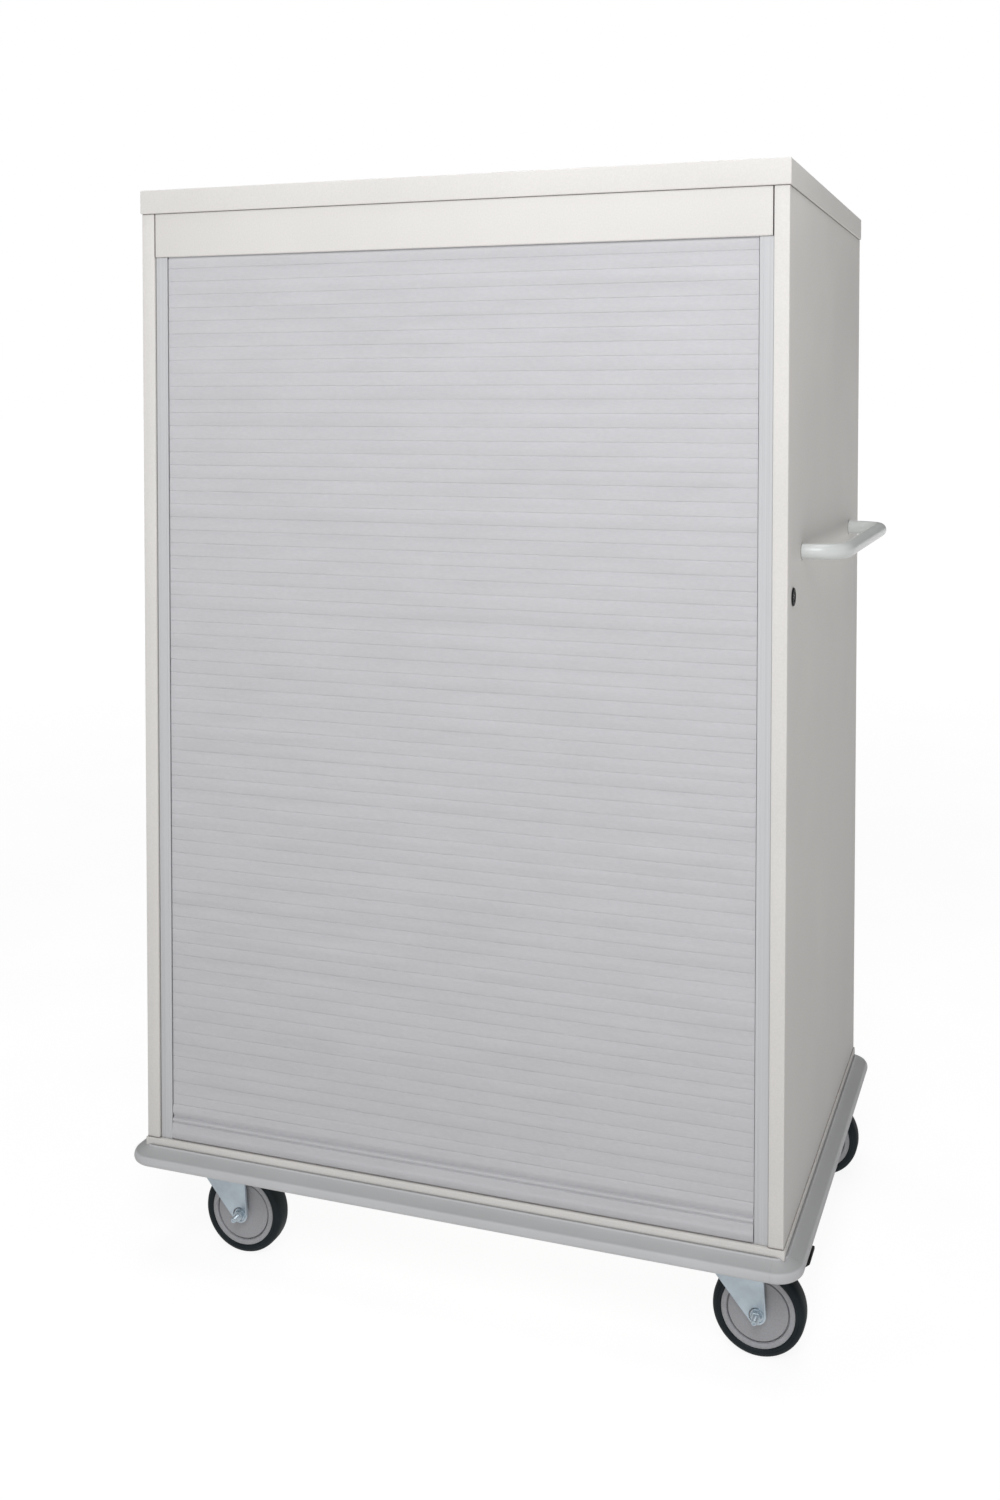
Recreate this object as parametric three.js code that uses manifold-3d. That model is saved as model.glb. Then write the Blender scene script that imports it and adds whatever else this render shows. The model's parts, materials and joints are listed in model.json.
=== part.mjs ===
// A closed housekeeping cart: a laminated board cabinet on four swivel casters, with a
// roller shutter across its front, a push handle and a bumper all round.
// Millimetres, +Z up, +X to the cart's right as seen from its front, -Y out of the front.
// The origin is on the floor, under the centre of the cabinet.
import * as THREE from 'three';
import { mergeVertices } from 'three/addons/utils/BufferGeometryUtils.js';
import Module from 'manifold-3d';

const wasm = await Module();
wasm.setup();

// ---- Driving dimensions ----

const gap = 0.3; // left between two pieces that touch

// cabinet
const cabinetWidth = 944;
const cabinetDepth = 664;
const totalHeight = 1576;
const panelThickness = 20;
const topThickness = 34;
const baseThickness = 29;
const baseUnderside = 155;
const overhang = 2; // top panel and base board, past the side panels
const backThickness = 10;
const backInset = 2;
const shelfThickness = 19;
const shelfTops = { lower: 480, middle: 790, upper: 1100 };
const shelfFront = -300;

// fascia
const fasciaHeight = 63;
const fasciaInset = 1;
const fasciaThickness = 4.7;
const fasciaSideGap = 1.5;
const fasciaRail = { depth: 29, height: 16 };

// shutter and its guides
const guideWidth = 18.7;
const guideInset = 4; // front of the guides behind the front of the side panels
const guideLip = 2;
const guideSlot = 9;
const guideWeb = 5.7;
const slatPitch = 18.93;
const topSlatLine = 1462.5; // height of the highest line between two slats on the front
const slatThickness = 8;
const slatGroove = { width: 1.4, depth: 0.9 };
const curtainHalfWidth = 445;
const slotClearance = 0.5;
const gripHeight = 52;
const gripHalfWidth = 432.5;

// roller
const rollerHeight = 1478; // its axis above the floor
const wrapRadius = 45.5; // middle of the curtain, where it turns over the roller
const wrapAngle = THREE.MathUtils.degToRad(100);
const coilRadius = 36.5;
const coilSides = 12;
const tubeRadius = 30;
const tubeWall = 2;
const tubeHalfLength = 438;
const shaftRadius = 6;
const bracket = { thickness: 4, front: -36, rear: 40, bottom: -44, top: 46 }; // about the axis
const spring = { radius: 20, wire: 2, turns: 8, start: -400, length: 240 };

// lock
const lockAt = { y: -293, z: 1019 };
const lockBody = { radius: 9, flangeRadius: 12, flangeThickness: 2, length: 28 };
const lockCore = { radius: 6, tailRadius: 4, tailLength: 6 };
const lockCam = { thickness: 3, hubRadius: 8, reach: 23.5, width: 9, setBack: 1 };
const keyway = { width: 1.6, height: 7, depth: 6 };
const camWindow = { innerX: 435, outerX: 446, halfHeight: 11 }; // through the guide, round the cam

// handles
const handleHeight = 1072;
const handleRadius = 10.5;
const handleHalfSpan = 225;
const handleReach = 54; // side panel to the middle of the grip
const handleBend = 46;

// bumper
const bumperTop = 174.5;
const bumperLip = 3;
const bulgeRadius = 8.3;
const bulgeDrop = 17.2; // top of the bumper to the middle of its bulge
const bumperDepth = 23;
const bumperCornerRadius = 38;

// casters
const casterAt = { x: 388, y: 258 };
const wheelRadius = 62.5;
const wheelSegments = 24;
const trail = 40;
const cheekInside = 21; // from the wheel's middle plane
const cheekThickness = 3;
const crownTop = 137;
const crownThickness = 3.5;
const crownFront = -32; // from the swivel axis
const crownRear = 34;
const raceGap = 142.6; // top of the lower ball race
const kingPin = { radius: 6, headRadius: 9, headBottom: 127, headTop: 131 };
const casterPlate = { width: 105, depth: 85, thickness: 3 };
const boltRadius = 4;
const boltTail = 19; // past the cheek, on the nut's side
const holeClearance = 0.4;
const nut = { radius: 7.5, height: 6.5 };
const boltHead = { radius: 7.5, height: 5 };
const brakePivot = { x: 45, z: 131.5, radius: 3 };
const pedalWidth = 38;

// ---- Worked out from them ----

const halfWidth = cabinetWidth / 2;
const halfDepth = cabinetDepth / 2;
const insideHalfWidth = halfWidth - panelThickness;
const boardHalfWidth = halfWidth + overhang;
const boardHalfDepth = halfDepth + overhang;
const baseTop = baseUnderside + baseThickness;
const topUnderside = totalHeight - topThickness;
const fasciaBottom = topUnderside - fasciaHeight;
const guideFront = -halfDepth + guideInset;
const curtainFront = guideFront + guideLip + slotClearance;
const curtainBack = curtainFront + slatThickness;
const guideBack = guideFront + 2 * guideLip + guideSlot;
const gripBottom = baseTop + gap;
const gripTop = gripBottom + gripHeight;
const rollerY = (curtainFront + curtainBack) / 2 + wrapRadius;

// ---- Finishes ----

const finishes = {
  whiteBoard: { color: 0xe4e2e0, roughness: 0.55, metalness: 0 },
  shutterGrey: { color: 0xc6c7cd, roughness: 0.6, metalness: 0 },
  guideGrey: { color: 0xcbcdd0, roughness: 0.5, metalness: 0 },
  bumperGrey: { color: 0xa9abab, roughness: 0.6, metalness: 0 },
  handleGrey: { color: 0xc4c8c4, roughness: 0.25, metalness: 0 },
  zincSteel: { color: 0xaebcc6, roughness: 0.35, metalness: 0.9 },
  tyreRubber: { color: 0x1a2529, roughness: 0.7, metalness: 0 },
  wheelGrey: { color: 0x8a8a8f, roughness: 0.55, metalness: 0 },
  blackPlastic: { color: 0x161616, roughness: 0.5, metalness: 0 },
  brightSteel: { color: 0xc9c9c9, roughness: 0.25, metalness: 1 },
  springSteel: { color: 0x5a5f63, roughness: 0.4, metalness: 0.9 },
};

// ---- Geometry helpers ----

const unitX = new THREE.Vector3(1, 0, 0);
const unitY = new THREE.Vector3(0, 1, 0);
const unitZ = new THREE.Vector3(0, 0, 1);
// an outline drawn in (y, z) and pushed along X, or drawn in (x, z) and pushed along Y
const alongX = new THREE.Matrix4().makeBasis(unitY, unitZ, unitX);
const alongY = new THREE.Matrix4().makeBasis(unitX, unitZ, unitY.clone().negate());
const alongZ = new THREE.Matrix4();
const quarterTurn = Math.PI / 2;

function piece(name, geometry, finish, position = [0, 0, 0], turn = 0) {
  const mesh = new THREE.Mesh(geometry, new THREE.MeshStandardMaterial(finishes[finish]));
  mesh.name = name;
  mesh.position.set(...position);
  mesh.rotation.z = turn;
  return mesh;
}

// a box between two corners
function block(low, high) {
  const size = high.map((value, i) => value - low[i]);
  const middle = high.map((value, i) => (value + low[i]) / 2);
  return new THREE.BoxGeometry(...size).translate(...middle);
}

function outline(points) {
  return new THREE.Shape(points.map(([a, b]) => new THREE.Vector2(a, b)));
}

function circlePoints(radius, sides, a = 0, b = 0) {
  const step = (2 * Math.PI) / sides;
  return Array.from({ length: sides }, (_, i) => [
    a + radius * Math.cos(i * step),
    b + radius * Math.sin(i * step),
  ]);
}

// an outline pushed by length, half to each side of the middle
function extruded(shape, length, frame, curveSegments = 4) {
  const settings = { depth: length, bevelEnabled: false, curveSegments };
  return new THREE.ExtrudeGeometry(shape, settings).translate(0, 0, -length / 2).applyMatrix4(frame);
}

// a solid cylinder lying along X
function roundBar(radius, length, sides) {
  return new THREE.CylinderGeometry(radius, radius, length, sides).rotateZ(quarterTurn);
}

// a closed profile of [radius, height] points turned about the Z axis
function turned(points, segments) {
  const profile = points.map(([radius, height]) => new THREE.Vector2(radius, height));
  return new THREE.LatheGeometry(profile, segments).rotateX(quarterTurn);
}

// the same for a ring, whose profile runs round to its first point again
function ring(points, segments) {
  return turned([...points, points[0]], segments);
}

function solid(geometry) {
  const bare = geometry.clone();
  bare.deleteAttribute('normal');
  bare.deleteAttribute('uv');
  const merged = mergeVertices(bare, 1e-4);
  return new wasm.Manifold(
    new wasm.Mesh({
      numProp: 3,
      vertProperties: new Float32Array(merged.attributes.position.array),
      triVerts: new Uint32Array(merged.index.array),
    }),
  );
}

function geometryOf(manifold) {
  const mesh = manifold.getMesh();
  const geometry = new THREE.BufferGeometry();
  geometry.setAttribute('position', new THREE.BufferAttribute(mesh.vertProperties, 3));
  geometry.setIndex(new THREE.BufferAttribute(mesh.triVerts, 1));
  geometry.computeVertexNormals();
  return geometry;
}

function cut(geometry, ...tools) {
  return geometryOf(tools.reduce((rest, tool) => rest.subtract(solid(tool)), solid(geometry)));
}

function joined(geometry, ...others) {
  return geometryOf(others.reduce((rest, other) => rest.add(solid(other)), solid(geometry)));
}

// ---- Cabinet ----

function cabinetBoards() {
  const sideLow = baseTop + gap;
  const sideHigh = topUnderside - gap;
  const inside = insideHalfWidth - gap;
  const right = block([insideHalfWidth, -halfDepth, sideLow], [halfWidth, halfDepth, sideHigh]);
  const left = block([-halfWidth, -halfDepth, sideLow], [-insideHalfWidth, halfDepth, sideHigh]);
  const holeRadius = lockBody.radius + holeClearance;
  const lockHole = roundBar(holeRadius, 3 * panelThickness, 20).translate(halfWidth, lockAt.y, lockAt.z);
  const backRear = halfDepth - backInset;
  const backFront = backRear - backThickness;
  const wide = (bottom, top) =>
    block([-boardHalfWidth, -boardHalfDepth, bottom], [boardHalfWidth, boardHalfDepth, top]);
  const back = block([-inside, backFront, sideLow], [inside, backRear, sideHigh]);
  const shelf = (top) =>
    block([-inside, shelfFront, top - shelfThickness], [inside, backFront - gap, top]);
  return [
    piece('base_board', wide(baseUnderside, baseTop), 'whiteBoard'),
    piece('top_panel', wide(topUnderside, totalHeight), 'whiteBoard'),
    piece('side_panel_left', left, 'whiteBoard'),
    piece('side_panel_right', cut(right, lockHole), 'whiteBoard'),
    piece('back_panel', back, 'whiteBoard'),
    ...Object.entries(shelfTops).map(([level, top]) => piece(`shelf_${level}`, shelf(top), 'whiteBoard')),
  ];
}

// a thin front plate with a rail along its top, which the top panel is screwed to
function fascia() {
  const front = -halfDepth + fasciaInset;
  const plateBack = front + fasciaThickness;
  const top = topUnderside - gap;
  const section = outline([
    [front, fasciaBottom],
    [plateBack, fasciaBottom],
    [plateBack, top - fasciaRail.height],
    [front + fasciaRail.depth, top - fasciaRail.height],
    [front + fasciaRail.depth, top],
    [front, top],
  ]);
  const length = 2 * (insideHalfWidth - fasciaSideGap);
  return piece('fascia', extruded(section, length, alongX), 'whiteBoard');
}

// ---- Shutter ----

// a channel whose slot faces the middle of the cart and holds the curtain's edge
function guideGeometry() {
  const outer = insideHalfWidth - gap;
  const inner = outer - guideWidth;
  const slotEnd = outer - guideWeb;
  const section = outline([
    [inner, guideFront],
    [outer, guideFront],
    [outer, guideBack],
    [inner, guideBack],
    [inner, guideBack - guideLip],
    [slotEnd, guideBack - guideLip],
    [slotEnd, guideFront + guideLip],
    [inner, guideFront + guideLip],
  ]);
  const low = baseTop + gap;
  const high = fasciaBottom - gap;
  return extruded(section, high - low, alongZ).translate(0, 0, (low + high) / 2);
}

// the same channel, standing on the other side: its outline is symmetric about X = 0
function mirroredInX(geometry) {
  const mirrored = geometry.clone().scale(-1, 1, 1);
  const corners = mirrored.index ?? mirrored.attributes.position;
  const swap = mirrored.index ? 1 : 3;
  for (let i = 0; i < corners.count; i += 3) {
    for (let k = 0; k < swap; k += 1) {
      const a = (i + 1) * swap + k;
      const b = (i + 2) * swap + k;
      [corners.array[a], corners.array[b]] = [corners.array[b], corners.array[a]];
    }
  }
  return mirrored;
}

function guides() {
  const plain = guideGeometry();
  const window = block(
    [camWindow.innerX, guideBack - 1.5 * guideLip, lockAt.z - camWindow.halfHeight],
    [camWindow.outerX, guideBack + 1, lockAt.z + camWindow.halfHeight],
  );
  return [
    piece('guide_left', mirroredInX(plain), 'guideGrey'),
    piece('guide_right', cut(plain, window), 'guideGrey'),
  ];
}

// one sheet of hinged slats: straight in the guides, then over the roller
function curtain() {
  const low = gripTop + gap;
  const slats = Math.floor((topSlatLine - low - slatGroove.width) / slatPitch);
  const lowestLine = topSlatLine - slatPitch * slats;
  const front = [];
  for (let z = lowestLine; z < rollerHeight; z += slatPitch) {
    front.push([curtainFront, z - slatGroove.width / 2]);
    front.push([curtainFront + slatGroove.depth, z]);
    front.push([curtainFront, z + slatGroove.width / 2]);
  }
  const wrapSteps = 6;
  const wrap = Array.from({ length: wrapSteps + 1 }, (_, i) => (i * wrapAngle) / wrapSteps);
  const onWrap = (radius) => (angle) => [
    rollerY - radius * Math.cos(angle),
    rollerHeight + radius * Math.sin(angle),
  ];
  const section = outline([
    [curtainBack, low],
    [curtainFront, low],
    ...front,
    ...wrap.map(onWrap(wrapRadius + slatThickness / 2)),
    ...wrap.reverse().map(onWrap(wrapRadius - slatThickness / 2)),
  ]);
  return piece('shutter_curtain', extruded(section, 2 * curtainHalfWidth, alongX), 'shutterGrey');
}

// the bottom slat: a bead along its top, a hollow finger face under it and a foot
function gripBar() {
  const ridge = curtainFront - 5.3;
  const section = outline([
    [curtainBack, gripBottom],
    [ridge + 2.5, gripBottom],
    [ridge + 0.4, gripBottom + 4],
    [ridge, gripBottom + 10],
    [ridge + 2.1, gripBottom + 15],
    [ridge + 2.5, gripBottom + 30.5],
    [curtainFront + 2, gripBottom + 32],
    [curtainFront - 1.9, gripBottom + 41.5],
    [curtainFront + 0.4, gripTop],
    [curtainBack, gripTop],
  ]);
  const tongue = block(
    [-curtainHalfWidth, curtainFront, gripBottom],
    [curtainHalfWidth, curtainBack, gripTop],
  );
  const front = extruded(section, 2 * gripHalfWidth, alongX);
  return piece('shutter_bar', joined(front, tongue), 'shutterGrey');
}

// ---- Roller ----

function rollerPieces() {
  const bore = shaftRadius + holeClearance;
  const end = tubeHalfLength;
  const plug = end - 4;
  const tube = ring(
    [
      [bore, -end],
      [tubeRadius, -end],
      [tubeRadius, end],
      [bore, end],
      [bore, plug],
      [tubeRadius - tubeWall, plug],
      [tubeRadius - tubeWall, -plug],
      [bore, -plug],
    ],
    20,
  ).rotateY(quarterTurn);
  const coilSection = outline(circlePoints(coilRadius, coilSides));
  coilSection.holes.push(outline(circlePoints(tubeRadius + gap, 20)));
  const coil = extruded(coilSection, 2 * tubeHalfLength, alongX);
  const bracketX = insideHalfWidth - gap - bracket.thickness / 2;
  const shaft = roundBar(shaftRadius, 2 * bracketX, 12);
  const axisAt = (x) => [x, rollerY, rollerHeight];
  return [
    piece('roller_tube', tube, 'zincSteel', axisAt(0)),
    piece('shutter_coil', coil, 'shutterGrey', axisAt(0)),
    piece('roller_shaft', shaft, 'zincSteel', axisAt(0)),
    piece('roller_bracket_left', bracketGeometry(), 'zincSteel', axisAt(-bracketX)),
    piece('roller_bracket_right', bracketGeometry(), 'zincSteel', axisAt(bracketX)),
    piece('balance_spring', springGeometry(), 'springSteel', axisAt(spring.start)),
  ];
}

// a flat plate that carries one end of the shaft
function bracketGeometry() {
  const plate = block(
    [-bracket.thickness / 2, bracket.front, bracket.bottom],
    [bracket.thickness / 2, bracket.rear, bracket.top],
  );
  return cut(plate, roundBar(shaftRadius + holeClearance, 3 * bracket.thickness, 16));
}

// a helix about the X axis
class Helix extends THREE.Curve {
  getPoint(t) {
    const angle = 2 * Math.PI * spring.turns * t;
    const { length, radius } = spring;
    return new THREE.Vector3(length * t, radius * Math.cos(angle), radius * Math.sin(angle));
  }
}

function springGeometry() {
  const settings = { steps: 8 * spring.turns, extrudePath: new Helix() };
  return new THREE.ExtrudeGeometry(outline(circlePoints(spring.wire, 6)), settings);
}

// ---- Lock ----

function lock() {
  const flangeX = halfWidth + gap;
  const innerX = flangeX - lockBody.length;
  const bore = lockCore.radius + holeClearance;
  const housing = ring(
    [
      [bore, innerX],
      [lockBody.radius, innerX],
      [lockBody.radius, flangeX],
      [lockBody.flangeRadius, flangeX],
      [lockBody.flangeRadius, flangeX + lockBody.flangeThickness],
      [bore, flangeX + lockBody.flangeThickness],
    ],
    20,
  ).rotateY(quarterTurn);
  const face = flangeX + lockBody.flangeThickness + 0.5;
  const barrel = turned(
    [
      [0, innerX - lockCore.tailLength],
      [lockCore.tailRadius, innerX - lockCore.tailLength],
      [lockCore.tailRadius, innerX],
      [lockCore.radius, innerX],
      [lockCore.radius, face],
      [0, face],
    ],
    16,
  ).rotateY(quarterTurn);
  const keySlot = block(
    [face - keyway.depth, -keyway.width / 2, -keyway.height / 2],
    [face + 1, keyway.width / 2, keyway.height / 2],
  );
  const arm = outline([
    [-lockCam.width / 2, -lockCam.reach],
    [lockCam.width / 2, -lockCam.reach],
    [lockCam.width / 2, 0],
    [-lockCam.width / 2, 0],
  ]);
  const cam = cut(
    joined(
      extruded(outline(circlePoints(lockCam.hubRadius, 16)), lockCam.thickness, alongX),
      extruded(arm, lockCam.thickness, alongX),
    ),
    extruded(outline(circlePoints(lockCore.tailRadius + gap, 16)), 2 * lockCam.thickness, alongX),
  );
  const camX = innerX - gap - lockCam.setBack - lockCam.thickness / 2;
  return [
    piece('lock_housing', housing, 'blackPlastic', [0, lockAt.y, lockAt.z]),
    piece('lock_core', cut(barrel, keySlot), 'brightSteel', [0, lockAt.y, lockAt.z]),
    piece('lock_cam', cam, 'zincSteel', [camX, lockAt.y, lockAt.z]),
  ];
}

// ---- Handles ----

function handleGeometry() {
  const corner = handleReach;
  const start = new THREE.Vector3(gap, -handleHalfSpan, 0);
  const bends = [-1, 1].map((side) => ({
    before: new THREE.Vector3(corner - handleBend, side * handleHalfSpan, 0),
    middle: new THREE.Vector3(corner, side * handleHalfSpan, 0),
    after: new THREE.Vector3(corner, side * (handleHalfSpan - handleBend), 0),
  }));
  const end = new THREE.Vector3(gap, handleHalfSpan, 0);
  const path = new THREE.CurvePath();
  path.add(new THREE.LineCurve3(start, bends[0].before));
  path.add(new THREE.QuadraticBezierCurve3(bends[0].before, bends[0].middle, bends[0].after));
  path.add(new THREE.LineCurve3(bends[0].after, bends[1].after));
  path.add(new THREE.QuadraticBezierCurve3(bends[1].after, bends[1].middle, bends[1].before));
  path.add(new THREE.LineCurve3(bends[1].before, end));
  const settings = { steps: 32, extrudePath: path };
  return new THREE.ExtrudeGeometry(outline(circlePoints(handleRadius, 10)), settings);
}

function handles() {
  return [
    piece('handle_right', handleGeometry(), 'handleGrey', [halfWidth, 0, handleHeight]),
    piece('handle_left', handleGeometry(), 'handleGrey', [-halfWidth, 0, handleHeight], Math.PI),
  ];
}

// ---- Bumper ----

// the bumper's section: out from the edge of the base board, and up from the floor
function bumperOutline() {
  const bulgeOut = bumperDepth - bulgeRadius;
  const bulgeMiddle = bumperTop - bulgeDrop;
  const section = new THREE.Shape();
  section.moveTo(gap, bulgeMiddle - bulgeRadius);
  section.absarc(bulgeOut, bulgeMiddle, bulgeRadius, -quarterTurn, quarterTurn, false);
  section.lineTo(bumperLip, bumperTop);
  section.lineTo(gap, bumperTop);
  return section;
}

function bumperCornerGeometry() {
  const boardRadius = bumperCornerRadius - bumperDepth;
  const points = bumperOutline().getPoints(4).map((point) => [boardRadius + point.x, point.y]);
  const whole = solid(ring(points, 40));
  const reach = 2 * bumperCornerRadius;
  const inner = boardRadius + gap;
  const quadrant = solid(block([0, 0, 0], [reach, reach, totalHeight]));
  const boardCorner = solid(block([-reach, -reach, -reach], [inner, inner, 2 * totalHeight]));
  return geometryOf(whole.intersect(quadrant).subtract(boardCorner));
}

function bumper() {
  const cornerX = boardHalfWidth + bumperDepth - bumperCornerRadius;
  const cornerY = boardHalfDepth + bumperDepth - bumperCornerRadius;
  const straight = (side, halfLength, position, turn) => {
    const strip = extruded(bumperOutline(), 2 * (halfLength - gap), alongX);
    return piece(`bumper_${side}`, strip, 'bumperGrey', position, turn);
  };
  const corner = (side, position, turn) =>
    piece(`bumper_corner_${side}`, bumperCornerGeometry(), 'bumperGrey', position, turn);
  return [
    straight('rear', cornerX, [0, boardHalfDepth, 0], 0),
    straight('front', cornerX, [0, -boardHalfDepth, 0], Math.PI),
    straight('left', cornerY, [-boardHalfWidth, 0, 0], quarterTurn),
    straight('right', cornerY, [boardHalfWidth, 0, 0], -quarterTurn),
    corner('rear_right', [cornerX, cornerY, 0], 0),
    corner('rear_left', [-cornerX, cornerY, 0], quarterTurn),
    corner('front_left', [-cornerX, -cornerY, 0], Math.PI),
    corner('front_right', [cornerX, -cornerY, 0], -quarterTurn),
  ];
}

// ---- Casters ----
// Each is drawn about its swivel axis, with the wheel trailing towards +X.

// the fixed half: plate, upper ball race and the king pin with its head under the crown
function casterPlateGeometry() {
  const plateBottom = baseUnderside - gap - casterPlate.thickness;
  const race = turned(
    [
      [0, kingPin.headBottom],
      [kingPin.headRadius, kingPin.headBottom],
      [kingPin.headRadius, kingPin.headTop],
      [kingPin.radius, kingPin.headTop],
      [kingPin.radius, raceGap + 2 * gap],
      [26, raceGap + 2 * gap],
      [28, plateBottom + 0.5],
      [0, plateBottom + 0.5],
    ],
    20,
  );
  const plate = block(
    [-casterPlate.width / 2, -casterPlate.depth / 2, plateBottom],
    [casterPlate.width / 2, casterPlate.depth / 2, plateBottom + casterPlate.thickness],
  );
  return joined(plate, race);
}

// one flat cheek: wide at the crown, narrowing to a round end at the axle
function cheekOutline() {
  const endRadius = 11;
  const endStart = THREE.MathUtils.degToRad(215);
  const shape = new THREE.Shape();
  shape.moveTo(crownFront, crownTop);
  shape.lineTo(crownFront, crownTop - 11);
  shape.absarc(trail, wheelRadius, endRadius, endStart, 2 * Math.PI, false);
  shape.lineTo(trail + endRadius - 2, crownTop);
  shape.holes.push(outline(circlePoints(boltRadius + holeClearance, 12, trail, wheelRadius)));
  const pivotHole = circlePoints(brakePivot.radius + holeClearance, 12, brakePivot.x, brakePivot.z);
  shape.holes.push(outline(pivotHole));
  return shape;
}

function forkGeometry() {
  const cheekMiddle = cheekInside + cheekThickness / 2;
  const cheeks = [-1, 1].map((side) =>
    extruded(cheekOutline(), cheekThickness, alongY, 5).translate(0, side * cheekMiddle, 0),
  );
  const crown = block(
    [crownFront, -cheekInside - cheekThickness, crownTop - crownThickness],
    [crownRear, cheekInside + cheekThickness, crownTop],
  );
  const lowerRace = turned(
    [
      [0, crownTop - 0.5],
      [27, crownTop - 0.5],
      [29, raceGap],
      [0, raceGap],
    ],
    20,
  );
  const pinHole = extruded(outline(circlePoints(kingPin.radius + 2 * gap, 16)), 40, alongZ);
  return cut(joined(crown, ...cheeks, lowerRace), pinHole.translate(0, 0, crownTop));
}

function tyreGeometry() {
  return ring(
    [
      [50.3, -14.5],
      [52.5, -16],
      [58, -15],
      [wheelRadius, -9],
      [wheelRadius, 9],
      [58, 15],
      [52.5, 16],
      [50.3, 14.5],
    ],
    wheelSegments,
  ).rotateX(quarterTurn);
}

// a disc with a boss at the bore and a groove inside the rim, alike on both faces
function hubGeometry() {
  const half = [
    [boltRadius + holeClearance, -20],
    [10, -20],
    [10, -13.5],
    [41, -13.5],
    [41, -11.5],
    [42.6, -11.5],
    [42.6, -14.5],
    [50, -14.5],
  ];
  const otherHalf = half.map(([radius, across]) => [radius, -across]).reverse();
  return ring([...half, ...otherHalf], wheelSegments).rotateX(quarterTurn);
}

function axleBoltGeometry() {
  const cheekOutside = cheekInside + cheekThickness;
  const headMiddle = cheekOutside + gap + boltHead.height / 2;
  const shankLength = headMiddle + cheekOutside + boltTail;
  const shankMiddle = headMiddle - shankLength / 2;
  const shank = extruded(outline(circlePoints(boltRadius, 12)), shankLength, alongY);
  const head = extruded(outline(circlePoints(boltHead.radius, 6)), boltHead.height, alongY);
  return joined(shank.translate(0, shankMiddle, 0), head.translate(0, headMiddle, 0));
}

function axleNutGeometry() {
  const section = outline(circlePoints(nut.radius, 6));
  section.holes.push(outline(circlePoints(boltRadius + gap, 12)));
  return extruded(section, nut.height, alongY);
}

function brakePedalGeometry() {
  const { x, z } = brakePivot;
  const shape = new THREE.Shape();
  shape.moveTo(x, z - 5);
  shape.lineTo(93, z - 4.5);
  shape.lineTo(101, z + 3);
  shape.lineTo(109.5, z + 10);
  shape.lineTo(109.5, z + 15);
  shape.lineTo(105, z + 15);
  shape.lineTo(97, z + 8.5);
  shape.lineTo(88, z + 5);
  shape.lineTo(x, z + 5);
  shape.absarc(x, z, 5, quarterTurn, 3 * quarterTurn, false);
  shape.holes.push(outline(circlePoints(brakePivot.radius + holeClearance, 12, x, z)));
  return extruded(shape, pedalWidth, alongY);
}

function brakePinGeometry() {
  const { x, z, radius } = brakePivot;
  const length = 2 * (cheekInside + cheekThickness) + 2;
  return extruded(outline(circlePoints(radius, 12, x, z)), length, alongY);
}

function caster(corner, x, y, braked) {
  const nutY = -(cheekInside + cheekThickness + gap + nut.height / 2);
  const group = new THREE.Group();
  group.position.set(x, y, 0);
  group.add(
    piece(`caster_plate_${corner}`, casterPlateGeometry(), 'zincSteel'),
    piece(`fork_${corner}`, forkGeometry(), 'zincSteel'),
    piece(`tyre_${corner}`, tyreGeometry(), 'tyreRubber', [trail, 0, wheelRadius]),
    piece(`wheel_hub_${corner}`, hubGeometry(), 'wheelGrey', [trail, 0, wheelRadius]),
    piece(`axle_bolt_${corner}`, axleBoltGeometry(), 'zincSteel', [trail, 0, wheelRadius]),
    piece(`axle_nut_${corner}`, axleNutGeometry(), 'zincSteel', [trail, nutY, wheelRadius]),
  );
  if (braked) {
    group.add(
      piece(`brake_pedal_${corner}`, brakePedalGeometry(), 'blackPlastic'),
      piece(`brake_pin_${corner}`, brakePinGeometry(), 'zincSteel'),
    );
  }
  return group;
}

// ---- The cart ----

const cart = new THREE.Group();
cart.add(...cabinetBoards(), fascia(), ...guides(), curtain(), gripBar());
cart.add(...rollerPieces(), ...lock(), ...handles(), ...bumper());
cart.add(
  caster('front_left', -casterAt.x, -casterAt.y, false),
  caster('front_right', casterAt.x, -casterAt.y, true),
  caster('rear_left', -casterAt.x, casterAt.y, true),
  caster('rear_right', casterAt.x, casterAt.y, false),
);

export default cart;
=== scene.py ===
"""The looks of a closed housekeeping cart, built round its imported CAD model.

Metres, +Z up, +X to the cart's right as seen from its front, -Y out of the front.
Each CAD node is replaced by a finer piece on the same body, at the place its box gives.
"""

import json
import math

import bmesh
import bpy
from mathutils import Matrix, Vector

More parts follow.
